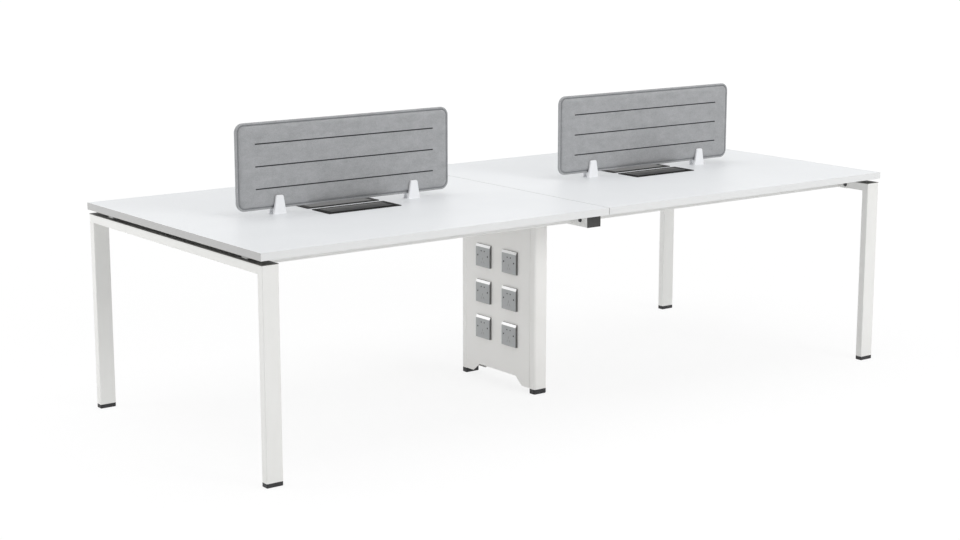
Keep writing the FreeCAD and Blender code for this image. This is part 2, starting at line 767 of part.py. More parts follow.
# Socket plates: bevelled along the top, with two-pin holes over three flat slots; back face at x = 0.
def make_socket():
    body = new_body("socket_plate")
    half = "socket_size / 2"
    profile = new_sketch(body, "XZ_Plane")
    add_outline(profile, [("0", f"-{half}"), ("0", half), ("-socket_edge", half),
                          ("-socket_thickness", f"{half} - socket_bevel"), ("-socket_thickness", f"-{half}")])
    pad(body, profile, "socket_size", "Symmetric")
    round_edges(body, "socket_round",
                lambda edge: near(edge.CenterOfMass.x, "-socket_thickness") and edge.CenterOfMass.z < 1)
    screws = new_sketch(body, "YZ_Plane")
    for side in SIDES:
        add_circle(screws, "(plate_screw + 2 * screw_clearance)", f"{side} * plate_screw_spacing / 2")
    pocket(body, screws)
    pins = new_sketch(body, "YZ_Plane", "-socket_thickness")
    low = "-(slot_drop + slot_length / 2)"
    high = "-(slot_drop - slot_length / 2)"
    for side in SIDES:
        add_circle(pins, "pin_diameter", f"{side} * pin_spacing / 2", "pin_rise")
        foot = f"{side} * (slot_spacing + slot_slant) / 2"
        head = f"{side} * (slot_spacing - slot_slant) / 2"
        add_outline(pins, [(f"{foot} - slot_width / 2", low), (f"{foot} + slot_width / 2", low),
                           (f"{head} + slot_width / 2", high), (f"{head} - slot_width / 2", high)])
    add_rectangle(pins, "slot_width", "slot_length", y="-earth_drop")
    pocket(body, pins, "pin_depth", back=True)
    return body


# Back boxes: open shells behind the panel, one for each plate, mouth at x = 0.
def make_back_box():
    body = new_body("back_box")
    shell = new_sketch(body, "YZ_Plane")
    add_rectangle(shell, "back_box_size", "back_box_size")
    pad(body, shell, "back_box_depth")
    inside = new_sketch(body, "YZ_Plane")
    inner = "(back_box_size - 2 * back_box_wall)"
    add_rectangle(inside, inner, inner)
    pocket(body, inside, "back_box_depth - back_box_wall", back=True)
    return body


# Plate screws: a low head on the plate's face and a shank through it, axis along X, face at x = 0.
def make_plate_screw():
    head = new_cylinder("plate_screw_head", "plate_screw_head", "plate_screw_rise")
    shank_length = "(socket_thickness + back_box_wall)"
    shank = new_cylinder("plate_screw_shank", "plate_screw", shank_length, f"-{shank_length}")
    screw = new_fuse("socket_screw", head, shank)
    screw.Placement = FreeCAD.Placement(FreeCAD.Vector(), FreeCAD.Rotation(Y_AXIS, -90))
    return screw


socket = make_socket()
back_box = make_back_box()
plate_screw = make_plate_screw()
back_boxes = []
plate_screws = []
for number, (spot_y, spot_z) in enumerate(SOCKET_SPOTS, start=1):
    node(socket, f"socket_plate_{number}", "-tube_width / 2", spot_y, spot_z)
    back_boxes.append(copy_of(back_box, "shell", "-tube_width / 2", spot_y, spot_z))
    for side in SIDES:
        screw_y = f"{spot_y} + {side} * plate_screw_spacing / 2"
        screw_x = "-tube_width / 2 - socket_thickness"
        plate_screws.append(copy_of(plate_screw, "screw", screw_x, screw_y, spot_z))
group_node("socket_back_boxes", back_boxes)
group_node("socket_screws", plate_screws)


# Screens: felt pressed into a thin rim and a thick field with three grooves on each face.
def make_screen():
    body = new_body("screen")
    middle = "screen_height / 2"
    rim = new_sketch(body, "XZ_Plane")
    add_rectangle(rim, "screen_length", "screen_height", y=middle)
    pad(body, rim, "rim_thickness", "Symmetric")
    round_edges(body, "screen_corner", lambda edge: along(edge, Y_AXIS))
    round_edges(body, "rim_round", lambda edge: near(abs(edge.CenterOfMass.y), "rim_thickness / 2"))
    field = new_sketch(body, "XZ_Plane")
    add_rectangle(field, "(screen_length - 2 * rim_width)", "(screen_height - 2 * rim_width)", y=middle)
    pad(body, field, "screen_thickness", "Symmetric")
    round_edges(body, "screen_corner - rim_width",
                lambda edge: along(edge, Y_AXIS)
                and near(edge.Length, "(screen_thickness - rim_thickness) / 2"))
    round_edges(body, "field_round", lambda edge: near(abs(edge.CenterOfMass.y), "screen_thickness / 2"))
    for side in SIDES:
        grooves = new_sketch(body, "XZ_Plane", f"{side} * screen_thickness / 2")
        for row in (1, 0, -1):
            add_rectangle(grooves, "groove_length", "groove_width", y=f"({middle} + {row} * groove_pitch)")
        pocket(body, grooves, "groove_depth", back=side < 0)
    return body


# Screen brackets: a tapered white casting whose two jaws hold the screen, joined by a narrower neck.
def make_bracket():
    body = new_body("bracket")
    width = f"(2 * {JAW_Y} + 2 * jaw_thickness)"
    profile = new_sketch(body, "XZ_Plane")
    add_outline(profile, [("-bracket_base / 2", "0"), ("bracket_base / 2", "0"),
                          ("bracket_tip / 2", "bracket_height"), ("-bracket_tip / 2", "bracket_height")])
    pad(body, profile, width, "Symmetric")
    round_edges(body, "jaw_round",
                lambda edge: along(edge, Y_AXIS) and near(edge.CenterOfMass.z, "bracket_height"))
    round_edges(body, "bracket_round",
                lambda edge: near(abs(edge.CenterOfMass.y), f"{width} / 2") and edge.CenterOfMass.z > 1)
    slot = new_sketch(body, "YZ_Plane")
    add_outline(slot, [(f"-{JAW_Y}", "screen_lift"), (JAW_Y, "screen_lift"),
                       (JAW_Y, "bracket_height + jaw_round"), (f"-{JAW_Y}", "bracket_height + jaw_round")])
    pocket(body, slot)
    beside_neck = new_sketch(body, "XY_Plane")
    for side in SIDES:
        middle = f"({side} * (bracket_base + neck_width) / 4)"
        add_rectangle(beside_neck, "((bracket_base - neck_width) / 2)", f"(2 * {JAW_Y})", x=middle)
    pocket(body, beside_neck, "screen_lift", back=True)
    bolt = new_sketch(body, "XY_Plane")
    add_circle(bolt, BRACKET_HOLE)
    pocket(body, bolt, "bracket_bolt_bite + screw_clearance", back=True)
    return body


# Bracket bolts: from below through the board into the bracket's base; z = 0 at the board's underside.
def make_bracket_bolt():
    head_height = "bracket_bolt_head_height"
    head = new_cylinder("bracket_bolt_cap", "bracket_bolt_head", head_height, f"-{head_height}")
    shank = new_cylinder("bracket_bolt_shank", "bracket_bolt", "(top_thickness + bracket_bolt_bite)")
    return new_fuse("bracket_fixing", head, shank)


screen = make_screen()
bracket = make_bracket()
bracket_bolt = make_bracket_bolt()
pad_block = new_box("pad_block", "pad_width", "pad_thickness", "pad_height")
jaw_pads = []
bracket_bolts = []
for side, hand in zip(SIDES, ("left", "right")):
    screen_x = f"{side} * {BOARD_X}"
    node(screen, f"screen_{hand}", screen_x, z="desk_height + screen_lift")
    for end, place in zip(SIDES, ("outer", "inner")):
        bracket_x = f"{side} * ({BOARD_X} - {end} * bracket_spacing / 2)"
        node(bracket, f"bracket_{hand}_{place}", bracket_x, z="desk_height")
        bracket_bolts.append(copy_of(bracket_bolt, "bolt", bracket_x, z=UNDERSIDE))
        for pad_y in ("-screen_thickness / 2 - pad_thickness", "screen_thickness / 2"):
            pad_x = f"{bracket_x} - pad_width / 2"
            pad_z = "desk_height + screen_lift + pad_rise"
            jaw_pads.append(copy_of(pad_block, "pad", pad_x, pad_y, pad_z))
group_node("bracket_pads", jaw_pads)
group_node("bracket_bolts", bracket_bolts)


# Cable box frames: a flat bezel on the board, a collar through it, ledges for lid and brush, hinge lugs.
# The screen is on the +Y side; z = 0 on the board's top.
def make_box_frame():
    body = new_body("box_frame")
    mouth_depth = f"({MOUTH_FRONT} + {MOUTH_BACK})"
    mouth_y = f"({MOUTH_BACK} - {MOUTH_FRONT}) / 2"
    bezel = new_sketch(body, "XY_Plane")
    add_rectangle(bezel, "box_length", "box_depth")
    add_rectangle(bezel, f"(2 * {MOUTH_X})", mouth_depth, y=mouth_y)
    pad(body, bezel, "bezel_thickness")
    round_edges(body, "bezel_corner",
                lambda edge: along(edge, Z_AXIS) and near(abs(edge.CenterOfMass.x), "box_length / 2"))
    round_edges(body, "bezel_round",
                lambda edge: near(edge.CenterOfMass.z, "bezel_thickness")
                and (abs(edge.CenterOfMass.x) > value("box_length / 2 - bezel_corner")
                     or abs(edge.CenterOfMass.y) > value("box_depth / 2 - bezel_corner")))
    collar = new_sketch(body, "XY_Plane")
    add_rectangle(collar, COLLAR_LENGTH, COLLAR_DEPTH)
    add_rectangle(collar, f"(2 * {COLLAR_INNER_X})", f"(2 * {COLLAR_INNER_Y})")
    pad(body, collar, "collar_drop", back=True)
    ledges = new_sketch(body, "XY_Plane", LID_BOTTOM)
    lugs = new_sketch(body, "XY_Plane")
    lug_length = f"({COLLAR_INNER_X} - {MOUTH_X})"
    for side in SIDES:
        inner = f"({MOUTH_X} - ledge_width)"
        ledge_length = f"({COLLAR_INNER_X} - {inner})"
        ledge_depth = f"({LID_FRONT} + {HINGE_Y} - lug_depth)"
        add_rectangle(ledges, ledge_length, ledge_depth, f"{side} * ({inner} + {COLLAR_INNER_X}) / 2",
                      f"({HINGE_Y} - lug_depth - {LID_FRONT}) / 2")
        add_rectangle(lugs, lug_length, "lug_depth", f"{side} * ({MOUTH_X} + {COLLAR_INNER_X}) / 2", HINGE_Y)
    pad(body, ledges, "ledge_thickness", back=True)
    pad(body, lugs, "lug_drop", back=True)
    shelf = new_sketch(body, "XY_Plane", "-brush_drop")
    shelf_depth = f"({COLLAR_INNER_Y} - {LID_FRONT})"
    add_rectangle(shelf, f"(2 * {MOUTH_X})", shelf_depth, y=f"-({COLLAR_INNER_Y} + {LID_FRONT}) / 2")
    pad(body, shelf, "ledge_thickness", back=True)
    hinge = new_sketch(body, "YZ_Plane")
    add_circle(hinge, "(hinge_pin + 2 * pin_clearance)", HINGE_Y, LID_BOTTOM)
    pocket(body, hinge)
    return body


# Lids: a plate with a hinge barrel along its back edge, bored from both ends for the pins.
def make_lid():
    body = new_body("lid")
    length = f"(2 * {MOUTH_X} - 2 * lid_gap)"
    plate = new_sketch(body, "YZ_Plane")
    add_outline(plate, [(f"-{LID_FRONT}", LID_BOTTOM), (HINGE_Y, LID_BOTTOM), (HINGE_Y, "bezel_thickness"),
                        (f"-{LID_FRONT}", "bezel_thickness")])
    pad(body, plate, length, "Symmetric")
    round_edges(body, "lid_round",
                lambda edge: along(edge, X_AXIS) and near(edge.CenterOfMass.z, "bezel_thickness")
                and near(edge.CenterOfMass.y, f"-{LID_FRONT}"))
    barrel = new_sketch(body, "YZ_Plane")
    add_circle(barrel, "(2 * lid_thickness)", HINGE_Y, LID_BOTTOM)
    pad(body, barrel, length, "Symmetric")
    bore = new_sketch(body, "YZ_Plane")
    add_circle(bore, "(hinge_pin + 2 * pin_clearance)", HINGE_Y, LID_BOTTOM)
    pocket(body, bore)
    return body


# Brushes: bristle strips in the slot between lid and bezel, standing on the brush shelf.
def make_brush():
    length = f"(2 * {MOUTH_X} - 2 * brush_gap)"
    return new_box("brush", length, "(brush_width - 2 * brush_gap)", "(brush_drop + brush_rise)")


def make_pin():
    pin = new_cylinder("pin", "hinge_pin", "pin_length")
    pin.Placement = FreeCAD.Placement(FreeCAD.Vector(), FreeCAD.Rotation(Y_AXIS, 90))
    return pin


box_frame = make_box_frame()
lid = make_lid()
brush = make_brush()
pin = make_pin()
pins = []
brushes = []
for side, hand in zip(SIDES, ("left", "right")):
    for end, place in zip(SIDES, ("front", "back")):
        box_x = f"{side} * {BOARD_X}"
        box_y = f"{end} * {BOX_Y}"
        node(box_frame, f"cable_box_{hand}_{place}", box_x, box_y, "desk_height", half_turn(end))
        node(lid, f"lid_{hand}_{place}", box_x, box_y, "desk_height", half_turn(end))
        pin_y = f"{box_y} - {end} * {HINGE_Y}"
        pin_z = f"desk_height + {LID_BOTTOM}"
        for tip in SIDES:
            pin_x = f"{box_x} + {tip} * ({MOUTH_X} + pin_grip)"
            pins.append(copy_of(pin, "pin", pin_x, pin_y, pin_z, half_turn(tip)))
        brush_x = f"{box_x} + {end} * ({MOUTH_X} - brush_gap)"
        brush_y = f"{box_y} + {end} * ({MOUTH_FRONT} - brush_gap)"
        brushes.append(copy_of(brush, "strip", brush_x, brush_y, "desk_height - brush_drop", half_turn(end)))
group_node("lid_hinge_pins", pins)
group_node("cable_brushes", brushes)


# Cable trays: folded sheet hung by its lips under each board, slotted along the bottom; lips' top at z = 0.
def make_tray():
    body = new_body("tray")
    inner = "(tray_width / 2)"
    outer = f"({inner} + tray_sheet)"
    tip = f"({outer} + tray_lip)"
    section = new_sketch(body, "YZ_Plane")
    add_outline(section, [(f"-{tip}", "0"), (f"-{inner}", "0"), (f"-{inner}", "tray_sheet - tray_drop"),
                          (inner, "tray_sheet - tray_drop"), (inner, "0"), (tip, "0"), (tip, "-tray_sheet"),
                          (outer, "-tray_sheet"), (outer, "-tray_drop"), (f"-{outer}", "-tray_drop"),
                          (f"-{outer}", "-tray_sheet"), (f"-{tip}", "-tray_sheet")])
    pad(body, section, "tray_length", "Symmetric")
    openings = new_sketch(body, "XY_Plane")
    for number in range(TRAY_SLOTS):
        slot_x = f"{number - (TRAY_SLOTS - 1) / 2} * tray_length / {TRAY_SLOTS + 1}"
        add_rectangle(openings, "tray_slot_length", "tray_slot_width", slot_x)
    for side in SIDES:
        for end in SIDES:
            add_circle(openings, SCREW_HOLE, f"{side} * {TRAY_SCREW_X}", f"{end} * {TRAY_LIP_Y}")
    pocket(body, openings)
    return body


tray = make_tray()
for side, hand in zip(SIDES, ("left", "right")):
    node(tray, f"cable_tray_{hand}", x=f"{side} * {TRAY_X}", z=UNDERSIDE)


# Board screws: from below through tube and spacer, or through the tray's lip, into the boards.
def make_screw(name, reach):
    head = new_cylinder(f"{name}_head", "screw_head", "screw_head_height", "-screw_head_height")
    shank = new_cylinder(f"{name}_shank", "screw_diameter", f"({reach} + screw_bite)")
    return new_fuse(name, head, shank)


above_tube = "(strip_thickness + frame_gap)"
frame_screw = make_screw("frame_screw", f"tube_depth + {above_tube}")
centre_screw = make_screw("centre_screw", f"centre_height + {above_tube}")
tray_screw = make_screw("tray_screw", "tray_sheet")
group_node("board_screws",
           four_copies(frame_screw, "screw", FRAME_SPOTS, f"{TUBE_TOP} - tube_depth")
           + four_copies(centre_screw, "screw", CENTRE_SPOTS, CENTRE_BOTTOM)
           + four_copies(tray_screw, "screw", TRAY_SPOTS, f"{UNDERSIDE} - tray_sheet"))

doc.recompute()
for item in doc.Objects:
    if "Invalid" in item.State or "Error" in item.State:
        raise RuntimeError(f"{item.Label} failed: {item.State}")
for item in nodes:
    shape = Part.getShape(item)
    if shape.isNull() or not shape.isValid():
        raise RuntimeError(f"{item.Label} has no valid shape")

os.makedirs("parts", exist_ok=True)
for item in nodes:
    Part.getShape(item).exportStep(os.path.join("parts", f"{item.Label}.step"))
print(f"{len(nodes)} nodes written")
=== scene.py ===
import math

import bpy
from mathutils import Euler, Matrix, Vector


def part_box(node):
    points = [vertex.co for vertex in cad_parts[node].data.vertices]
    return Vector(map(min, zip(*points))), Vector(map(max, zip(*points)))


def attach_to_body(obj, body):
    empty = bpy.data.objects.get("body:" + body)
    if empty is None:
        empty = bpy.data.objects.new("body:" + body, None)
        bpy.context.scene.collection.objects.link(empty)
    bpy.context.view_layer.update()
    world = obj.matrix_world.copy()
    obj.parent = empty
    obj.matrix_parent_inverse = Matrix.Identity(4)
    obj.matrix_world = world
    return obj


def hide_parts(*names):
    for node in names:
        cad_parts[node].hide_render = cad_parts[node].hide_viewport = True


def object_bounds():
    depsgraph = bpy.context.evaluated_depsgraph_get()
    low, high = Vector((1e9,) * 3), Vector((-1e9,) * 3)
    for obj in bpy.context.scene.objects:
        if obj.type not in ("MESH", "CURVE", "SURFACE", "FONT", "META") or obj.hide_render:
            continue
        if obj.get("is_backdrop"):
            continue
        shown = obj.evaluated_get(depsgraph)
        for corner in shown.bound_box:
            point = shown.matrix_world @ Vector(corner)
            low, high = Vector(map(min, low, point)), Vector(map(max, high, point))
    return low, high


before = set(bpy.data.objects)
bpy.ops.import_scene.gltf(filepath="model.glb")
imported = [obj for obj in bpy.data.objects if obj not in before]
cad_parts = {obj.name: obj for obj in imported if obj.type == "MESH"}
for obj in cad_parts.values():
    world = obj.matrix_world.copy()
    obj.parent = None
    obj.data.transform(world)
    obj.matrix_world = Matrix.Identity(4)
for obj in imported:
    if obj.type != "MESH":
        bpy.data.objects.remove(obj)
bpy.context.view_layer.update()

# Levelling feet and tube inserts
# Injection-moulded black nylon: a block the size of the tube on a stud, and a bored plug in the tube's end.
# The stud turns in the plug to level the desk.
HANDS = ("left", "right")
PLACES = ("front", "back")
MOULD_FLOW_MM = 35
MOULD_GRAIN_DEPTH = 0.00005
MOULD_GLOSS_SPREAD = 0.06


def linear(hex_colour):
    parts = [int(hex_colour[start:start + 2], 16) / 255 for start in (1, 3, 5)]
    return [part / 12.92 if part <= 0.04045 else ((part + 0.055) / 1.055) ** 2.4 for part in parts] + [1.0]


def add_node(tree, kind, inputs=None, **settings):
    node = tree.nodes.new(kind)
    for name, setting in settings.items():
        setattr(node, name, setting)
    for name, source in (inputs or {}).items():
        if isinstance(source, bpy.types.NodeSocket):
            tree.links.new(source, node.inputs[name])
        else:
            node.inputs[name].default_value = source
    return node


def per_metre(grain_mm):
    return 1000 / grain_mm


def new_material(name):
    material = bpy.data.materials.new(name)
    material.use_nodes = True
    material.node_tree.nodes.clear()
    return material, material.node_tree


def finish_shader(tree, inputs):
    shader = add_node(tree, "ShaderNodeBsdfPrincipled", inputs)
    add_node(tree, "ShaderNodeOutputMaterial", {"Surface": shader.outputs["BSDF"]})


# A mould's spark-eroded skin is dull and even with a soft sheen, and cloudy where the melt flowed.
# Its real grain is about 0.2 mm and is drawn at 1 mm or more, so that it shows.
def moulded_plastic(name, dark, pale, grain_mm, roughness, shine=0.5):
    material, tree = new_material(name)
    place = add_node(tree, "ShaderNodeTexCoord").outputs["Object"]
    grain = add_node(tree, "ShaderNodeTexNoise",
                     {"Vector": place, "Scale": per_metre(grain_mm), "Detail": 3.0})
    flow = add_node(tree, "ShaderNodeTexNoise",
                    {"Vector": place, "Scale": per_metre(MOULD_FLOW_MM), "Detail": 2.0})
    shade = add_node(tree, "ShaderNodeMath", {0: grain.outputs["Fac"], 1: flow.outputs["Fac"]},
                     operation="MULTIPLY")
    colour = add_node(tree, "ShaderNodeMixRGB",
                      {"Fac": shade.outputs["Value"], "Color1": linear(dark), "Color2": linear(pale)})
    gloss = add_node(tree, "ShaderNodeMapRange",
                     {"Value": grain.outputs["Fac"], "To Min": roughness - MOULD_GLOSS_SPREAD,
                      "To Max": roughness + MOULD_GLOSS_SPREAD})
    bump = add_node(tree, "ShaderNodeBump", {"Height": grain.outputs["Fac"], "Strength": 0.4,
                                             "Distance": MOULD_GRAIN_DEPTH})
    finish_shader(tree, {"Base Color": colour.outputs["Color"], "Roughness": gloss.outputs["Result"],
                         "Normal": bump.outputs["Normal"], "IOR": 1.5, "Specular IOR Level": shine})
    return material


def coat(piece, material):
    piece.data.materials.clear()
    piece.data.materials.append(material)


def dress(material, *names):
    for name in names:
        coat(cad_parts[name], material)


black_nylon = moulded_plastic("black_moulded_nylon", "#161616", "#34343a", grain_mm=1.2, roughness=0.5)
dress(black_nylon, "foot_riser_front", "foot_riser_back", "tube_inserts",
      *[f"foot_{hand}_{place}" for hand in HANDS for place in PLACES])

# End frames, beams and riser leg
# Cold-rolled steel tube and sheet, welded and ground flush, then coated with warm white polyester powder.
# The end frames stand on the feet, the beams join them, and the riser leg carries the cross beam.
COAT_CLOUD_MM = 120
COAT_PEEL_DEPTH = 0.0001
COAT_GLOSS_SPREAD = 0.05


# A baked powder coat flows to a fine orange peel, seen as a soft break in its low satin gloss.
def powder_coat(name, shaded, pale, peel_mm, roughness):
    material, tree = new_material(name)
    place = add_node(tree, "ShaderNodeTexCoord").outputs["Object"]
    peel = add_node(tree, "ShaderNodeTexNoise",
                    {"Vector": place, "Scale": per_metre(peel_mm), "Detail": 2.0})
    cloud = add_node(tree, "ShaderNodeTexNoise",
                     {"Vector": place, "Scale": per_metre(COAT_CLOUD_MM), "Detail": 3.0})
    colour = add_node(tree, "ShaderNodeMixRGB",
                      {"Fac": cloud.outputs["Fac"], "Color1": linear(shaded), "Color2": linear(pale)})
    gloss = add_node(tree, "ShaderNodeMapRange",
                     {"Value": cloud.outputs["Fac"], "To Min": roughness - COAT_GLOSS_SPREAD,
                      "To Max": roughness + COAT_GLOSS_SPREAD})
    bump = add_node(tree, "ShaderNodeBump", {"Height": peel.outputs["Fac"], "Strength": 0.25,
                                             "Distance": COAT_PEEL_DEPTH})
    finish_shader(tree, {"Base Color": colour.outputs["Color"], "Roughness": gloss.outputs["Result"],
                         "Normal": bump.outputs["Normal"], "IOR": 1.5})
    return material


white_steel = powder_coat("white_powder_coated_steel", "#eeeeeb", "#f4f4f2", peel_mm=1.6, roughness=0.42)
dress(white_steel, "centre_beam", "cable_tray_left", "cable_tray_right",
      *[f"{hand}_end_rail" for hand in HANDS],
      *[f"{hand}_{place}_{piece}" for hand in HANDS for place in PLACES for piece in ("leg", "beam")])
# The riser leg, under the boards, takes a lighter copy of the same white: painted light there.
lighter_white_coat = powder_coat("white_powder_coat_painted_lighter", "#f6f5f2", "#fbfaf8", peel_mm=1.6, roughness=0.42)
dress(lighter_white_coat, "riser_front_column", "riser_back_column", "riser_socket_panel", "riser_plain_panel")

# Cover strips, beam caps and spacers
# Extruded dark grey strips hide the tops of the end rails, moulded caps close the cross beam, and light
# grey moulded blocks carry the boards.
dark_strip = moulded_plastic("dark_extruded_strip", "#4f4e4a", "#64635f", grain_mm=2.5, roughness=0.6)
dress(dark_strip, "rail_cover_strips")
dark_cap = moulded_plastic("dark_moulded_cap", "#363634", "#494947", grain_mm=1.5, roughness=0.55)
dress(dark_cap, "centre_beam_caps")
grey_spacer = moulded_plastic("grey_moulded_spacer", "#c6c6c4", "#d8d8d6", grain_mm=1.5, roughness=0.5)
dress(grey_spacer, "top_spacers")

# Frame bolts
# Hex flange bolts of black-oxide steel clamp the beams to the rails, and the riser columns to the cross
# beam. Cold forging gives them a chamfered head and a round flange.
BOLT_RADIUS = 0.004
BOLT_HEAD_RADIUS = 0.007
BOLT_HEAD_HEIGHT = 0.005
BOLT_CHAMFER_RADIUS = 0.0058
BOLT_CHAMFER_ANGLE = math.radians(30)
BOLT_FLANGE_RADIUS = 0.0082
BOLT_FLANGE_HEIGHT = 0.0012
BOLT_FLANGE_CORNER = 0.0004
SHANK_CHAMFER_SHARE = 1 / 6
FLANGE_BOLT_SHANK = 0.014
PLATE_BOLT_SHANK = 0.015
FLANGE_THICKNESS = 0.004
PLATE_THICKNESS = 0.005
BOLT_OFFSET = 0.066
PLATE_BOLT_X = 0.017
PLATE_BOLT_Y = 0.163
TURN_TO_RIGHT = (0, math.pi / 2, 0)
TURN_TO_LEFT = (0, -math.pi / 2, 0)
TURN_DOWN = (math.pi, 0, 0)
METAL_CLOUD_MM = 3
METAL_GLOSS_SPREAD = 0.08


def pick(piece):
    bpy.ops.object.select_all(action="DESELECT")
    piece.select_set(True)
    bpy.context.view_layer.objects.active = piece


def settle(piece):
    pick(piece)
    bpy.ops.object.transform_apply(location=True, rotation=True, scale=True)


def apply_modifier(piece, kind, **settings):
    pick(piece)
    modifier = piece.modifiers.new(kind, kind)
    for name, setting in settings.items():
        setattr(modifier, name, setting)
    bpy.ops.object.modifier_apply(modifier=modifier.name)


def combine(piece, tool, operation):
    settle(tool)
    apply_modifier(piece, "BOOLEAN", object=tool, operation=operation, material_mode="TRANSFER")
    bpy.data.objects.remove(tool)


def smooth(piece, degrees=35):
    pick(piece)
    bpy.ops.object.shade_smooth_by_angle(angle=math.radians(degrees))


def copy_piece(piece, name, place, turn=(0, 0, 0)):
    twin = piece.copy()
    twin.data = piece.data.copy()
    twin.name = name
    bpy.context.collection.objects.link(twin)
    twin.location = place
    twin.rotation_euler = turn
    settle(twin)
    return twin


def join_pieces(pieces, name):
    pick(pieces[0])
    for piece in pieces:
        piece.select_set(True)
    bpy.ops.object.join()
    pieces[0].name = name
    return pieces[0]


def attach(piece, slot, *nodes):
    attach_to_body(piece, "desk")
    if nodes:
        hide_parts(*nodes)


def turned(radius, low, high, corner, sides=24):
    bpy.ops.mesh.primitive_cylinder_add(vertices=sides, radius=radius, depth=high - low,
                                        location=(0, 0, (low + high) / 2))
    piece = bpy.context.active_object
    settle(piece)
    apply_modifier(piece, "BEVEL", width=corner, segments=2, limit_method="ANGLE")
    return piece


def hex_flange_bolt(shank_length):
    middle = (0, 0, BOLT_HEAD_HEIGHT / 2)
    bpy.ops.mesh.primitive_cylinder_add(vertices=6, radius=BOLT_HEAD_RADIUS, depth=BOLT_HEAD_HEIGHT,
                                        location=middle)
    bolt = bpy.context.active_object
    settle(bolt)
    spread = BOLT_HEAD_HEIGHT / math.tan(BOLT_CHAMFER_ANGLE)
    bpy.ops.mesh.primitive_cone_add(vertices=48, radius1=BOLT_CHAMFER_RADIUS + spread,
                                    radius2=BOLT_CHAMFER_RADIUS, depth=BOLT_HEAD_HEIGHT, location=middle)
    combine(bolt, bpy.context.active_object, "INTERSECT")
    flange = turned(BOLT_FLANGE_RADIUS, 0, BOLT_FLANGE_HEIGHT, BOLT_FLANGE_CORNER, sides=32)
    combine(bolt, flange, "UNION")
    shank = turned(BOLT_RADIUS, -shank_length, BOLT_FLANGE_HEIGHT / 2, BOLT_RADIUS * SHANK_CHAMFER_SHARE)
    combine(bolt, shank, "UNION")
    smooth(bolt, degrees=25)
    return bolt


# Oxide and zinc grow in small clouds on steel: the one dull black, the other a bright, uneven grey.
def bare_metal(name, dark, pale, roughness, metallic):
    material, tree = new_material(name)
    place = add_node(tree, "ShaderNodeTexCoord").outputs["Object"]
    cloud = add_node(tree, "ShaderNodeTexNoise",
                     {"Vector": place, "Scale": per_metre(METAL_CLOUD_MM), "Detail": 4.0})
    colour = add_node(tree, "ShaderNodeMixRGB",
                      {"Fac": cloud.outputs["Fac"], "Color1": linear(dark), "Color2": linear(pale)})
    gloss = add_node(tree, "ShaderNodeMapRange",
                     {"Value": cloud.outputs["Fac"], "To Min": roughness - METAL_GLOSS_SPREAD,
                      "To Max": roughness + METAL_GLOSS_SPREAD})
    finish_shader(tree, {"Base Color": colour.outputs["Color"], "Roughness": gloss.outputs["Result"],
                         "Metallic": metallic})
    return material


black_oxide = bare_metal("black_oxide_steel", "#3c3c3e", "#58585b", roughness=0.5, metallic=0.6)
flange_bolt = hex_flange_bolt(FLANGE_BOLT_SHANK)
plate_bolt = hex_flange_bolt(PLATE_BOLT_SHANK)
bolts = []
for hand in HANDS:
    for place in PLACES:
        low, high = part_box(f"{hand}_{place}_beam")
        middle = (low + high) / 2
        for offset in (-BOLT_OFFSET, BOLT_OFFSET):
            spot = (low.x + FLANGE_THICKNESS, middle.y + offset, middle.z)
            bolts.append(copy_piece(flange_bolt, "bolt", spot, TURN_TO_RIGHT))
            spot = (high.x - FLANGE_THICKNESS, middle.y + offset, middle.z)
            bolts.append(copy_piece(flange_bolt, "bolt", spot, TURN_TO_LEFT))
plate_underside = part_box("centre_beam")[0].z - PLATE_THICKNESS
for x in (-PLATE_BOLT_X, PLATE_BOLT_X):
    for y in (-PLATE_BOLT_Y, PLATE_BOLT_Y):
        bolts.append(copy_piece(plate_bolt, "bolt", (x, y, plate_underside), TURN_DOWN))
bpy.data.objects.remove(flange_bolt)
bpy.data.objects.remove(plate_bolt)
frame_bolts = join_pieces(bolts, "hex_flange_bolts")
coat(frame_bolts, black_oxide)
attach(frame_bolts, "black_steel", "frame_bolts")

# Socket plates
# Moulded polycarbonate with a silver-grey lacquer, a painted highlight along the top bevel and darker sides.
# Each stands over a moulded back box, with shutters behind its holes and two small cross-slot screws.
SOCKETS = [f"socket_plate_{number}" for number in range(1, 7)]
FLECK_MM = 0.8
FRONT_LIMIT = -0.9
BEVEL_LIMIT = 0.2
BLOCK_CORNER_SHARE = 1 / 6
PIN_SHUTTER_RADIUS = 0.0026
PIN_SHUTTER_CORNER = 0.000325
PIN_RISE = 0.018
PIN_OFFSET = 0.0095
SLOT_SIZE = (0.0076, 0.0019, 0.003)
SLOT_DROP = 0.024
SLOT_OFFSET = 0.007
SLOT_LEAN = math.atan2(3, 8)
EARTH_DROP = 0.011
SHUTTER_TOP = -0.0005
SHUTTER_BOTTOM = -0.0035
SCREW_OFFSET = 0.030
SCREW_HEAD_RADIUS = 0.003
SCREW_HEAD_HEIGHT = 0.001
SCREW_RADIUS = 0.00175
SCREW_LENGTH = 0.011
HEAD_ROUND_SHARE = 0.4
HEAD_OVERLAP_SHARE = 0.25
CROSS_SIZE = (0.0036, 0.0007, 0.0012)
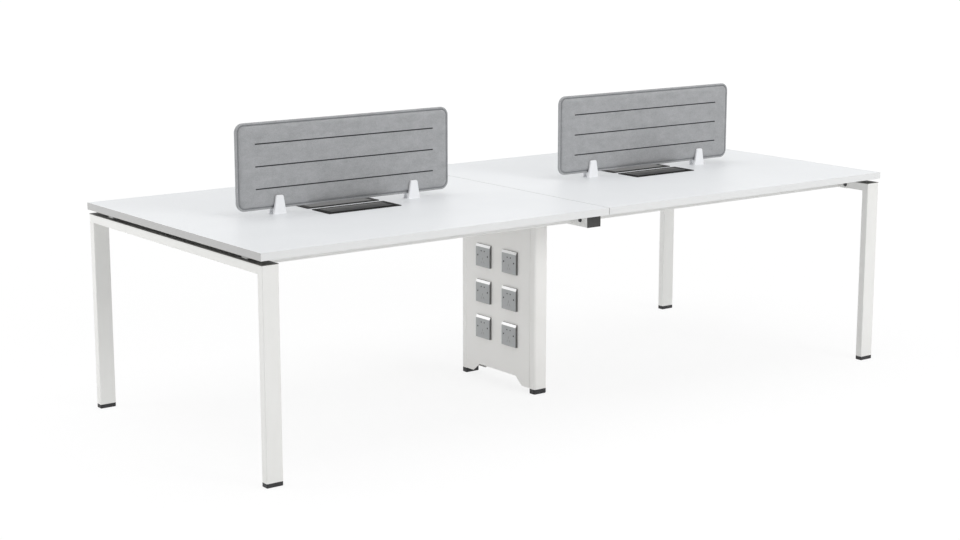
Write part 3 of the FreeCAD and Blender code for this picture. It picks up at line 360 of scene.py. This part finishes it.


# Silver lacquer sprayed on the front reads as an even mid grey, and the sides, picked by their facing, take
# a dull dark grey. The front's top bevel is painted white and made a mirror: a painted highlight. The flecks
# of the lacquer, far under a pixel, are drawn at 0.8 mm.
def lacquered_socket():
    material, tree = new_material("silver_lacquered_polycarbonate")
    place = add_node(tree, "ShaderNodeTexCoord").outputs["Object"]
    fleck = add_node(tree, "ShaderNodeTexNoise",
                     {"Vector": place, "Scale": per_metre(FLECK_MM), "Detail": 2.0})
    lacquer = add_node(tree, "ShaderNodeMixRGB",
                       {"Fac": fleck.outputs["Fac"], "Color1": linear("#abadae"),
                        "Color2": linear("#b9bbbc")})
    facing = add_node(tree, "ShaderNodeNewGeometry").outputs["True Normal"]
    direction = add_node(tree, "ShaderNodeSeparateXYZ", {"Vector": facing})
    front = add_node(tree, "ShaderNodeMath", {0: direction.outputs["X"], 1: FRONT_LIMIT},
                     operation="LESS_THAN")
    upward = add_node(tree, "ShaderNodeMath", {0: direction.outputs["Z"], 1: BEVEL_LIMIT},
                      operation="GREATER_THAN")
    # The upward faces of the front bevel take a white mirror: a painted highlight.
    bevel = add_node(tree, "ShaderNodeMath", {0: front.outputs["Value"], 1: upward.outputs["Value"]},
                     operation="MULTIPLY")
    sides = add_node(tree, "ShaderNodeMixRGB", {"Fac": front.outputs["Value"], "Color1": linear("#6b6c6b"),
                                                "Color2": lacquer.outputs["Color"]})
    # The white mixed in here is the painted highlight on the bevel.
    colour = add_node(tree, "ShaderNodeMixRGB",
                      {"Fac": bevel.outputs["Value"], "Color1": sides.outputs["Color"],
                       "Color2": linear("#fafafa")})
    gloss = add_node(tree, "ShaderNodeMapRange",
                     {"Value": fleck.outputs["Fac"], "To Min": 0.26, "To Max": 0.38})
    finish_shader(tree, {"Base Color": colour.outputs["Color"], "Roughness": gloss.outputs["Result"],
                         "Metallic": bevel.outputs["Value"]})
    return material


def bevelled_block(size, middle, turn=0):
    bpy.ops.mesh.primitive_cube_add(size=1, location=middle, rotation=(0, 0, turn))
    piece = bpy.context.active_object
    piece.scale = size
    settle(piece)
    apply_modifier(piece, "BEVEL", width=min(size) * BLOCK_CORNER_SHARE, segments=2,
                   limit_method="NONE")
    return piece


def pin_shutters():
    shutters = []
    for offset in (-PIN_OFFSET, PIN_OFFSET):
        shutter = turned(PIN_SHUTTER_RADIUS, SHUTTER_BOTTOM, SHUTTER_TOP, PIN_SHUTTER_CORNER)
        shutter.location = (PIN_RISE, offset, 0)
        settle(shutter)
        shutters.append(shutter)
    return join_pieces(shutters, "pin_shutters")


def slot_shutters():
    middle = (SHUTTER_TOP + SHUTTER_BOTTOM) / 2
    shutters = [bevelled_block(SLOT_SIZE, (-EARTH_DROP, 0, middle))]
    for side in (-1, 1):
        spot = (-SLOT_DROP, side * SLOT_OFFSET, middle)
        shutters.append(bevelled_block(SLOT_SIZE, spot, -side * SLOT_LEAN))
    return join_pieces(shutters, "slot_shutters")


def cross_slot_screw(head_radius, head_height, shank_radius, shank_length, cross):
    screw = turned(head_radius, 0, head_height, head_height * HEAD_ROUND_SHARE)
    for turn in (0, math.pi / 2):
        bpy.ops.mesh.primitive_cube_add(size=1, location=(0, 0, head_height), rotation=(0, 0, turn))
        cutter = bpy.context.active_object
        cutter.scale = cross
        combine(screw, cutter, "DIFFERENCE")
    shank = turned(shank_radius, -shank_length, head_height * HEAD_OVERLAP_SHARE,
                   shank_radius * SHANK_CHAMFER_SHARE)
    combine(screw, shank, "UNION")
    smooth(screw)
    return screw


silver_lacquer = lacquered_socket()
dress(silver_lacquer, *SOCKETS)
white_box = moulded_plastic("white_moulded_back_box", "#dcdcd8", "#e6e6e2", grain_mm=1.5, roughness=0.5)
dress(white_box, "socket_back_boxes")
plate_screw = cross_slot_screw(SCREW_HEAD_RADIUS, SCREW_HEAD_HEIGHT, SCREW_RADIUS, SCREW_LENGTH, CROSS_SIZE)
masters = [pin_shutters(), slot_shutters(), plate_screw]
copies = [[], [], []]
for plate in SOCKETS:
    low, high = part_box(plate)
    middle = (low + high) / 2
    for master, group, offsets in zip(masters, copies, ((0,), (0,), (-SCREW_OFFSET, SCREW_OFFSET))):
        for offset in offsets:
            spot = (low.x, middle.y + offset, middle.z)
            group.append(copy_piece(master, "copy", spot, TURN_TO_LEFT))
for master in masters:
    bpy.data.objects.remove(master)
shutters = join_pieces(copies[0], "socket_pin_shutters")
coat(shutters, moulded_plastic("black_moulded_shutter", "#0a0a0a", "#141414", grain_mm=1.0, roughness=0.7,
                               shine=0.1))
attach(shutters, "black_plastic")
shutters = join_pieces(copies[1], "socket_slot_shutters")
coat(shutters, moulded_plastic("grey_moulded_shutter", "#acaeaf", "#babcbd", grain_mm=1.0, roughness=0.4))
attach(shutters, "socket_plastic")
screws = join_pieces(copies[2], "socket_cross_screws")
coat(screws, bare_metal("dark_socket_screw_steel", "#2c2d2e", "#3e3f40", roughness=0.6, metallic=0.2))
attach(screws, "zinc_steel", "socket_screws")

# Boards and edge bands
# Chipboard faced with white melamine paper, and edged with thin glued plastic band. The band on the two ends
# is painted greyer, as painted shade. The boards lie on the spacers and meet at a thin seam.
PEARL_MM = 2
PEARL_DEPTH = 0.0001
BOARD_CLOUD_MM = 250
BOARD_GLOSS_SPREAD = 0.05
END_LIMIT = 0.7


# Melamine is pressed on a pearl-textured plate, which breaks its gloss to a soft, cool white.
# The pearl is far finer than a pixel, so it is drawn at 2 mm to show at all.
def melamine(name, shaded, pale, roughness):
    material, tree = new_material(name)
    place = add_node(tree, "ShaderNodeTexCoord").outputs["Object"]
    pearl = add_node(tree, "ShaderNodeTexNoise",
                     {"Vector": place, "Scale": per_metre(PEARL_MM), "Detail": 3.0})
    cloud = add_node(tree, "ShaderNodeTexNoise",
                     {"Vector": place, "Scale": per_metre(BOARD_CLOUD_MM), "Detail": 2.0})
    colour = add_node(tree, "ShaderNodeMixRGB",
                      {"Fac": cloud.outputs["Fac"], "Color1": linear(shaded), "Color2": linear(pale)})
    gloss = add_node(tree, "ShaderNodeMapRange",
                     {"Value": pearl.outputs["Fac"], "To Min": roughness - BOARD_GLOSS_SPREAD,
                      "To Max": roughness + BOARD_GLOSS_SPREAD})
    bump = add_node(tree, "ShaderNodeBump", {"Height": pearl.outputs["Fac"], "Strength": 0.15,
                                             "Distance": PEARL_DEPTH})
    finish_shader(tree, {"Base Color": colour.outputs["Color"], "Roughness": gloss.outputs["Result"],
                         "Normal": bump.outputs["Normal"], "IOR": 1.5})
    return material


# Extruded band takes the board's pearl, and reads as a plain satin white. Faces turned to the ends are
# painted grey, as painted shade.
def edge_band(name, long_shaded, long_pale, end_painted_shade_dark, end_painted_shade_pale, roughness):
    material, tree = new_material(name)
    place = add_node(tree, "ShaderNodeTexCoord").outputs["Object"]
    pearl = add_node(tree, "ShaderNodeTexNoise",
                     {"Vector": place, "Scale": per_metre(PEARL_MM), "Detail": 3.0})
    facing = add_node(tree, "ShaderNodeNewGeometry").outputs["True Normal"]
    direction = add_node(tree, "ShaderNodeSeparateXYZ", {"Vector": facing})
    # Faces that turn along the desk, its two ends, take the greyer pair of colours: painted shade.
    sideways = add_node(tree, "ShaderNodeMath", {0: direction.outputs["X"]}, operation="ABSOLUTE")
    end = add_node(tree, "ShaderNodeMath", {0: sideways.outputs["Value"], 1: END_LIMIT},
                   operation="GREATER_THAN")
    long_side, painted_shade_end_colour = [
        add_node(tree, "ShaderNodeMixRGB",
                 {"Fac": pearl.outputs["Fac"], "Color1": linear(shaded), "Color2": linear(pale)})
        for shaded, pale in ((long_shaded, long_pale), (end_painted_shade_dark, end_painted_shade_pale))]
    colour = add_node(tree, "ShaderNodeMixRGB",
                      {"Fac": end.outputs["Value"], "Color1": long_side.outputs["Color"],
                       "Color2": painted_shade_end_colour.outputs["Color"]})
    gloss = add_node(tree, "ShaderNodeMapRange",
                     {"Value": pearl.outputs["Fac"], "To Min": roughness - BOARD_GLOSS_SPREAD,
                      "To Max": roughness + BOARD_GLOSS_SPREAD})
    finish_shader(tree, {"Base Color": colour.outputs["Color"], "Roughness": gloss.outputs["Result"],
                         "IOR": 1.5})
    return material


white_melamine = melamine("white_pearl_melamine", "#e6e8ea", "#eceef0", roughness=0.45)
dress(white_melamine, "tabletop_left", "tabletop_right")
# The last pair of colours is the painted shade on the two end bands.
white_band = edge_band("white_edge_band", "#e6e7e7", "#edeeee", "#bcbcbb", "#c4c4c3", roughness=0.4)
dress(white_band, "edge_bands")

# Board screws
# Pan-head screws of zinc-plated steel, driven from below through tube and spacer, or through the tray's
# lip, into the boards. Each takes the place and length of its plain screw in the solids.
BOARD_SCREW_HEAD_RADIUS = 0.005
BOARD_SCREW_HEAD_HEIGHT = 0.003
BOARD_SCREW_RADIUS = 0.0025
BOARD_CROSS_SIZE = (0.006, 0.0013, 0.0036)
BOARD_SCREW_SPREAD = 0.0105


def upright_solids(node, width):
    groups = []
    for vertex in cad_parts[node].data.vertices:
        near = [group for group in groups if (group[0].xy - vertex.co.xy).length < width]
        if near:
            near[0].append(vertex.co)
        else:
            groups.append([vertex.co])
    return [[Vector([corner(point[axis] for point in group) for axis in range(3)])
             for corner in (min, max)] for group in groups]


zinc_steel = bare_metal("zinc_plated_steel", "#9fa0a1", "#c2c3c3", roughness=0.35, metallic=1.0)
dress(zinc_steel, "bracket_bolts", "lid_hinge_pins")
masters = {}
screws = []
for low, high in upright_solids("board_screws", BOARD_SCREW_SPREAD):
    seat = low.z + BOARD_SCREW_HEAD_HEIGHT
    length = round(high.z - seat, 4)
    if length not in masters:
        masters[length] = cross_slot_screw(BOARD_SCREW_HEAD_RADIUS, BOARD_SCREW_HEAD_HEIGHT,
                                           BOARD_SCREW_RADIUS, length, BOARD_CROSS_SIZE)
    spot = ((low.x + high.x) / 2, (low.y + high.y) / 2, seat)
    screws.append(copy_piece(masters[length], "screw", spot, TURN_DOWN))
for master in masters.values():
    bpy.data.objects.remove(master)
board_screws = join_pieces(screws, "pan_head_screws")
coat(board_screws, zinc_steel)
attach(board_screws, "zinc_steel", "board_screws")

# Cable boxes
# Each is a moulded black ABS frame let into the board, with a dark satin lid on pins along its screen side.
# Cables leave by a brush of black nylon bristles, crimped in a channel between lid and frame.
BRUSH_LENGTH = 0.2552
BRUSH_WIDTH = 0.0092
BRUSH_HEIGHT = 0.0095
BRUSH_DROP = 0.008
BRUSH_REACH = 0.043
CHANNEL_HEIGHT = 0.0035
CHANNEL_WALL = 0.0012
CHANNEL_CORNER = 0.0003
UPWARD_LIMIT = 0.9
BRISTLE_RADIUS = 0.0007
BRISTLE_ROWS = (-0.0026, 0, 0.0026)
BRISTLE_PITCH = 0.002
BRISTLE_GROUP = 6
BRISTLE_LEAN = math.radians(6)
LEAN_STEP_ACROSS = 2.4
LEAN_STEP_ALONG = 1.7


def begin_edit(piece):
    pick(piece)
    bpy.ops.object.mode_set(mode="EDIT")


def end_edit():
    bpy.ops.object.mode_set(mode="OBJECT")


def pick_faces(piece, wanted):
    begin_edit(piece)
    bpy.ops.mesh.select_all(action="DESELECT")
    end_edit()
    for face in piece.data.polygons:
        face.select = wanted(face)
    begin_edit(piece)


def brush_channel():
    bpy.ops.mesh.primitive_cube_add(size=1, location=(0, 0, CHANNEL_HEIGHT / 2))
    channel = bpy.context.active_object
    channel.scale = (BRUSH_LENGTH, BRUSH_WIDTH, CHANNEL_HEIGHT)
    settle(channel)
    pick_faces(channel, lambda face: face.normal.z > UPWARD_LIMIT)
    bpy.ops.mesh.inset(thickness=CHANNEL_WALL)
    drop = (0, 0, CHANNEL_WALL - CHANNEL_HEIGHT)
    bpy.ops.mesh.extrude_region_move(TRANSFORM_OT_translate={"value": drop})
    end_edit()
    apply_modifier(channel, "BEVEL", width=CHANNEL_CORNER, segments=2, limit_method="ANGLE")
    return channel


# Real bristles are too fine to show, so they are drawn some five times too thick, and fewer.
def bristle_rows():
    bristles = []
    root = CHANNEL_WALL
    length = BRUSH_HEIGHT - root
    for column in range(BRISTLE_GROUP):
        for row, y in enumerate(BRISTLE_ROWS):
            number = column * len(BRISTLE_ROWS) + row
            lean = (BRISTLE_LEAN * math.sin(LEAN_STEP_ACROSS * number),
                    BRISTLE_LEAN * math.sin(LEAN_STEP_ALONG * number + 1), 0)
            x = (column + 0.5) * BRISTLE_PITCH - BRUSH_LENGTH / 2 + CHANNEL_WALL
            bpy.ops.mesh.primitive_cone_add(vertices=5, radius1=BRISTLE_RADIUS, radius2=BRISTLE_RADIUS / 2,
                                            depth=length, location=(x, y, root + length / 2), rotation=lean)
            bristles.append(bpy.context.active_object)
            settle(bristles[-1])
    rows = join_pieces(bristles, "bristles")
    step = BRISTLE_GROUP * BRISTLE_PITCH
    apply_modifier(rows, "ARRAY", count=int((BRUSH_LENGTH - 2 * CHANNEL_WALL) / step),
                   use_relative_offset=False, use_constant_offset=True,
                   constant_offset_displace=(step, 0, 0))
    return rows


black_abs = moulded_plastic("black_moulded_abs", "#0f0f0f", "#1b1b1b", grain_mm=1.0, roughness=0.6,
                            shine=0.12)
dress(black_abs, *[f"cable_box_{hand}_{place}" for hand in HANDS for place in PLACES])
dark_abs = moulded_plastic("dark_satin_abs", "#131413", "#1e1f1d", grain_mm=1.0, roughness=0.34, shine=0.16)
dress(dark_abs, *[f"lid_{hand}_{place}" for hand in HANDS for place in PLACES])
channel = brush_channel()
coat(channel, black_abs)
bristles = bristle_rows()
coat(bristles, moulded_plastic("black_nylon_bristle", "#0c0c0c", "#222222", grain_mm=2.0, roughness=0.5,
                               shine=0.25))
brush = join_pieces([channel, bristles], "brush")
strips = []
for hand in HANDS:
    for place, side in zip(PLACES, (-1, 1)):
        low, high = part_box(f"lid_{hand}_{place}")
        box_low, box_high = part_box(f"cable_box_{hand}_{place}")
        spot = ((low.x + high.x) / 2, (box_low.y + box_high.y) / 2 + side * BRUSH_REACH,
                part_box(f"tabletop_{hand}")[1].z - BRUSH_DROP)
        strips.append(copy_piece(brush, "strip", spot, (0, 0, 0 if side < 0 else math.pi)))
bpy.data.objects.remove(brush)
attach(join_pieces(strips, "bristle_strips"), "black_bristle", "cable_brushes")

# Screen brackets
# Die-cast zinc coated in white powder, with dull rubber pads that grip the felt, bolted from below.
# The cast jaws taper to the top and meet only in a narrow neck at the foot.
white_casting = powder_coat("white_powder_coated_casting", "#f5f6f8", "#fafbfd", peel_mm=1.2, roughness=0.38)
dress(white_casting, *[f"bracket_{hand}_{end}" for hand in HANDS for end in ("outer", "inner")])
black_rubber = moulded_plastic("dull_black_rubber", "#1a1a1a", "#2c2c2c", grain_mm=1.0, roughness=0.75)
dress(black_rubber, "bracket_pads")

# Felt screens
# Polyester felt hot pressed in a mould: a thin hard lip, a valley, a soft pillowed field and three grooves.
# The valley and, darker still, the grooves are painted shade. The brackets grip each screen by its lower
# edge.
SCREEN_CORNER = 0.031
RIM_HALF = 0.005
RIM_ROUND = 0.003
LIP_WIDTH = 0.003
VALLEY_WIDTH = 0.0045
VALLEY_DEPTH = 0.0015
FIELD_HALF = 0.010
SHOULDER_WIDTH = 0.0165
GROOVE_LENGTH = 0.736
GROOVE_WIDTH = 0.0045
GROOVE_DEPTH = 0.003
GROOVE_PITCH = 0.077
GROOVE_ROUND = 0.00135
WELD_DISTANCE = 0.00001
FACE, VALLEY_SHADE = 0, 1
FIBRE_MM = 3
FIBRE_DEPTH = 0.0006
FIBRE_LIE = (1.0, 1.0, 1.6)
MOTTLE_MM = 22
MOTTLE_LIE = (0.6, 1.0, 1.0)
MOTTLE_SHARE = 0.35


# Grey heather fibres, needled and pressed, give a dull face with a faint mottle along its length.
# Single fibres are far under a pixel, so tufts of 3 mm are drawn instead.
def felt(name, dark, middle, pale, roughness):
    material, tree = new_material(name)
    place = add_node(tree, "ShaderNodeTexCoord").outputs["Object"]
    across = add_node(tree, "ShaderNodeMapping", {"Vector": place, "Scale": FIBRE_LIE})
    fibre = add_node(tree, "ShaderNodeTexNoise",
                     {"Vector": across.outputs["Vector"], "Scale": per_metre(FIBRE_MM), "Detail": 5.0,
                      "Roughness": 0.7})
    along = add_node(tree, "ShaderNodeMapping", {"Vector": place, "Scale": MOTTLE_LIE})
    mottle = add_node(tree, "ShaderNodeTexNoise",
                      {"Vector": along.outputs["Vector"], "Scale": per_metre(MOTTLE_MM), "Detail": 4.0,
                       "Roughness": 0.65})
    both = add_node(tree, "ShaderNodeMixRGB", {"Fac": MOTTLE_SHARE, "Color1": fibre.outputs["Fac"],
                                               "Color2": mottle.outputs["Fac"]})
    ramp = add_node(tree, "ShaderNodeValToRGB", {"Fac": both.outputs["Color"]})
    stops = ramp.color_ramp.elements
    stops[0].position, stops[0].color = 0.3, linear(dark)
    stops[1].position, stops[1].color = 0.7, linear(pale)
    stops.new(0.5).color = linear(middle)
    bump = add_node(tree, "ShaderNodeBump", {"Height": fibre.outputs["Fac"], "Strength": 0.4,
                                             "Distance": FIBRE_DEPTH})
    finish_shader(tree, {"Base Color": ramp.outputs["Color"], "Roughness": roughness, "Sheen Weight": 0.15,
                         "Sheen Roughness": 0.5, "Specular IOR Level": 0.2,
                         "Normal": bump.outputs["Normal"]})
    return material


def round_over(width, depth, steps):
    angles = [math.pi / 2 * step / steps for step in range(steps + 1)]
    for start, stop in zip(angles, angles[1:]):
        bpy.ops.mesh.inset(thickness=width * (math.cos(start) - math.cos(stop)),
                           depth=depth * (math.sin(stop) - math.sin(start)))


def assign_slot(piece, slot):
    piece.active_material_index = slot
    bpy.ops.object.material_slot_assign()


def pressed_screen(length, height):
    bpy.ops.mesh.primitive_plane_add(size=1, rotation=(math.pi / 2, 0, 0))
    piece = bpy.context.active_object
    piece.scale = (length, height, 1)
    settle(piece)
    piece.data.materials.append(felt("grey_heather_felt", "#929495", "#a8a9ab", "#bbbcbe", roughness=0.92))
    # The next two felts are darker copies of the face: painted shade for the valley and the grooves.
    piece.data.materials.append(felt("painted_valley_shade_felt", "#7e8082", "#898b8d", "#949698", roughness=0.92))
    groove_shade_felt = felt("painted_groove_shade_felt", "#3e3f41", "#47484a", "#525355", roughness=0.92)
    begin_edit(piece)
    bpy.ops.mesh.select_all(action="SELECT")
    bpy.ops.mesh.bevel(offset=SCREEN_CORNER, segments=12, affect="VERTICES")
    bpy.ops.mesh.select_all(action="SELECT")
    bpy.ops.mesh.extrude_region_move(TRANSFORM_OT_translate={"value": (0, RIM_ROUND - RIM_HALF, 0)})
    round_over(RIM_ROUND, RIM_ROUND, steps=4)
    bpy.ops.mesh.inset(thickness=LIP_WIDTH, depth=0)
    # The valley takes the darker felt: painted shade.
    assign_slot(piece, VALLEY_SHADE)
    bpy.ops.mesh.inset(thickness=VALLEY_WIDTH / 2, depth=-VALLEY_DEPTH)
    bpy.ops.mesh.inset(thickness=VALLEY_WIDTH / 2, depth=0)
    assign_slot(piece, FACE)
    round_over(SHOULDER_WIDTH, FIELD_HALF - RIM_HALF + VALLEY_DEPTH, steps=8)
    end_edit()
    for row in (-1, 0, 1):
        bpy.ops.mesh.primitive_cube_add(size=1, location=(0, -FIELD_HALF, row * GROOVE_PITCH))
        cutter = bpy.context.active_object
        cutter.scale = (GROOVE_LENGTH, 2 * GROOVE_DEPTH, GROOVE_WIDTH)
        settle(cutter)
        # The grooves take the darkest felt: painted shade.
        cutter.data.materials.append(groove_shade_felt)
        apply_modifier(cutter, "BEVEL", width=GROOVE_ROUND, segments=3, limit_method="NONE")
        combine(piece, cutter, "DIFFERENCE")
    pick_faces(piece, lambda face: abs(face.center.y) < WELD_DISTANCE)
    bpy.ops.mesh.delete(type="ONLY_FACE")
    end_edit()
    apply_modifier(piece, "MIRROR", use_axis=(False, True, False), merge_threshold=0.0001)
    begin_edit(piece)
    bpy.ops.mesh.select_all(action="SELECT")
    bpy.ops.mesh.remove_doubles(threshold=WELD_DISTANCE)
    bpy.ops.mesh.normals_make_consistent(inside=False)
    end_edit()
    smooth(piece)
    return piece


low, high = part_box("screen_left")
screen = pressed_screen(high.x - low.x, high.z - low.z)
for hand in HANDS:
    low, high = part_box(f"screen_{hand}")
    hung = copy_piece(screen, f"felt_screen_{hand}", (low + high) / 2)
    attach(hung, "grey_felt", f"screen_{hand}")
bpy.data.objects.remove(screen)

# Studio floor
# A plain pale sweep that shows white to the lens, and near the desk keeps a faint share of its shadow.
FLOOR_SIZE = 60
SHADOW_REACH = 6
FLOOR_DROP = 0.0005
SHADOW_SHARE = 0.2
FLOOR_GLOW = 1.03
WHITE = linear("#ffffff")


# The lens, and what mirrors or lets light through, see the plain white. All other rays meet the real light.
def background_rays(tree):
    ray = add_node(tree, "ShaderNodeLightPath")
    bent = add_node(tree, "ShaderNodeMath",
                    {0: ray.outputs["Is Glossy Ray"], 1: ray.outputs["Is Transmission Ray"]},
                    operation="MAXIMUM")
    seen = add_node(tree, "ShaderNodeMath", {0: ray.outputs["Is Camera Ray"], 1: bent.outputs["Value"]},
                    operation="MAXIMUM")
    return seen.outputs["Value"]


bpy.ops.mesh.primitive_plane_add(size=FLOOR_SIZE, location=(0, 0, -FLOOR_DROP))
floor = bpy.context.active_object
floor.name = "studio_floor"
floor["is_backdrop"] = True
floor_paper, tree = new_material("white_studio_paper")
paper = add_node(tree, "ShaderNodeBsdfDiffuse", {"Color": linear("#f4f4f4")})
glow = add_node(tree, "ShaderNodeEmission", {"Color": WHITE, "Strength": FLOOR_GLOW})
place = add_node(tree, "ShaderNodeTexCoord").outputs["Object"]
reach = add_node(tree, "ShaderNodeMapping", {"Vector": place, "Scale": [1 / SHADOW_REACH] * 3})
near = add_node(tree, "ShaderNodeTexGradient", {"Vector": reach.outputs["Vector"]},
                gradient_type="SPHERICAL")
share = add_node(tree, "ShaderNodeMath", {0: near.outputs["Fac"], 1: SHADOW_SHARE}, operation="MULTIPLY")
blended = add_node(tree, "ShaderNodeMixShader", {"Fac": share.outputs["Value"], 1: glow.outputs["Emission"],
                                                 2: paper.outputs["BSDF"]})
chosen = add_node(tree, "ShaderNodeMixShader", {"Fac": background_rays(tree), 1: paper.outputs["BSDF"],
                                                2: blended.outputs["Shader"]})
add_node(tree, "ShaderNodeOutputMaterial", {"Surface": chosen.outputs["Shader"]})
coat(floor, floor_paper)

# Studio light
# A white tent all round, a wide soft box overhead, one high in front of the desk and a small one by its
# left end, at a plain level that clips none of the desk's whites.
TENT_LEVEL = 0.49
world = bpy.data.worlds.new("white_tent")
bpy.context.scene.world = world
world.use_nodes = True
tree = world.node_tree
tree.nodes.clear()
tent = add_node(tree, "ShaderNodeBackground", {"Color": WHITE, "Strength": TENT_LEVEL})
backdrop = add_node(tree, "ShaderNodeBackground", {"Color": WHITE, "Strength": 1.0})
sky = add_node(tree, "ShaderNodeMixShader", {"Fac": background_rays(tree), 1: tent.outputs["Background"],
                                             2: backdrop.outputs["Background"]})
add_node(tree, "ShaderNodeOutputWorld", {"Surface": sky.outputs["Shader"]})


def soft_box(name, place, aim, size, watts):
    light = bpy.data.lights.new(name, "AREA")
    light.shape = "RECTANGLE"
    light.size, light.size_y = size
    light.energy = watts
    lamp = bpy.data.objects.new(name, light)
    bpy.context.collection.objects.link(lamp)
    lamp.location = place
    lamp.rotation_euler = (Vector(aim) - Vector(place)).to_track_quat("-Z", "Y").to_euler()


soft_box("overhead_soft_box", place=(0, 0, 6.0), aim=(0, 0, 0), size=(7.0, 5.0), watts=162)
soft_box("front_soft_box", place=(2.5, -8.0, 4.0), aim=(0, 0, 0.6), size=(4.0, 3.0), watts=212)
soft_box("side_soft_box", place=(-5.0, 2.0, 1.5), aim=(-1.4, 0.2, 0.5), size=(2.0, 2.0), watts=49)

# Camera
# A long lens at the photograph's height and angle, tilted down a little, with no shift.
FOCAL_PIXELS = 1888.92
IMAGE_WIDTH = 960
CAMERA_PLACE = (-4.2648, -5.5050, 1.8342)
CAMERA_YAW = -0.6463
CAMERA_PITCH = 0.1986
camera = bpy.data.cameras.new("camera")
camera.sensor_width = 36
camera.lens = FOCAL_PIXELS * camera.sensor_width / IMAGE_WIDTH
camera_rig = bpy.data.objects.new("camera", camera)
bpy.context.collection.objects.link(camera_rig)
camera_rig.location = CAMERA_PLACE
camera_rig.rotation_euler = Euler((math.pi / 2 - CAMERA_PITCH, 0, CAMERA_YAW))
bpy.context.scene.camera = camera_rig
bpy.context.scene.view_settings.view_transform = "Standard"

low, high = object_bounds()
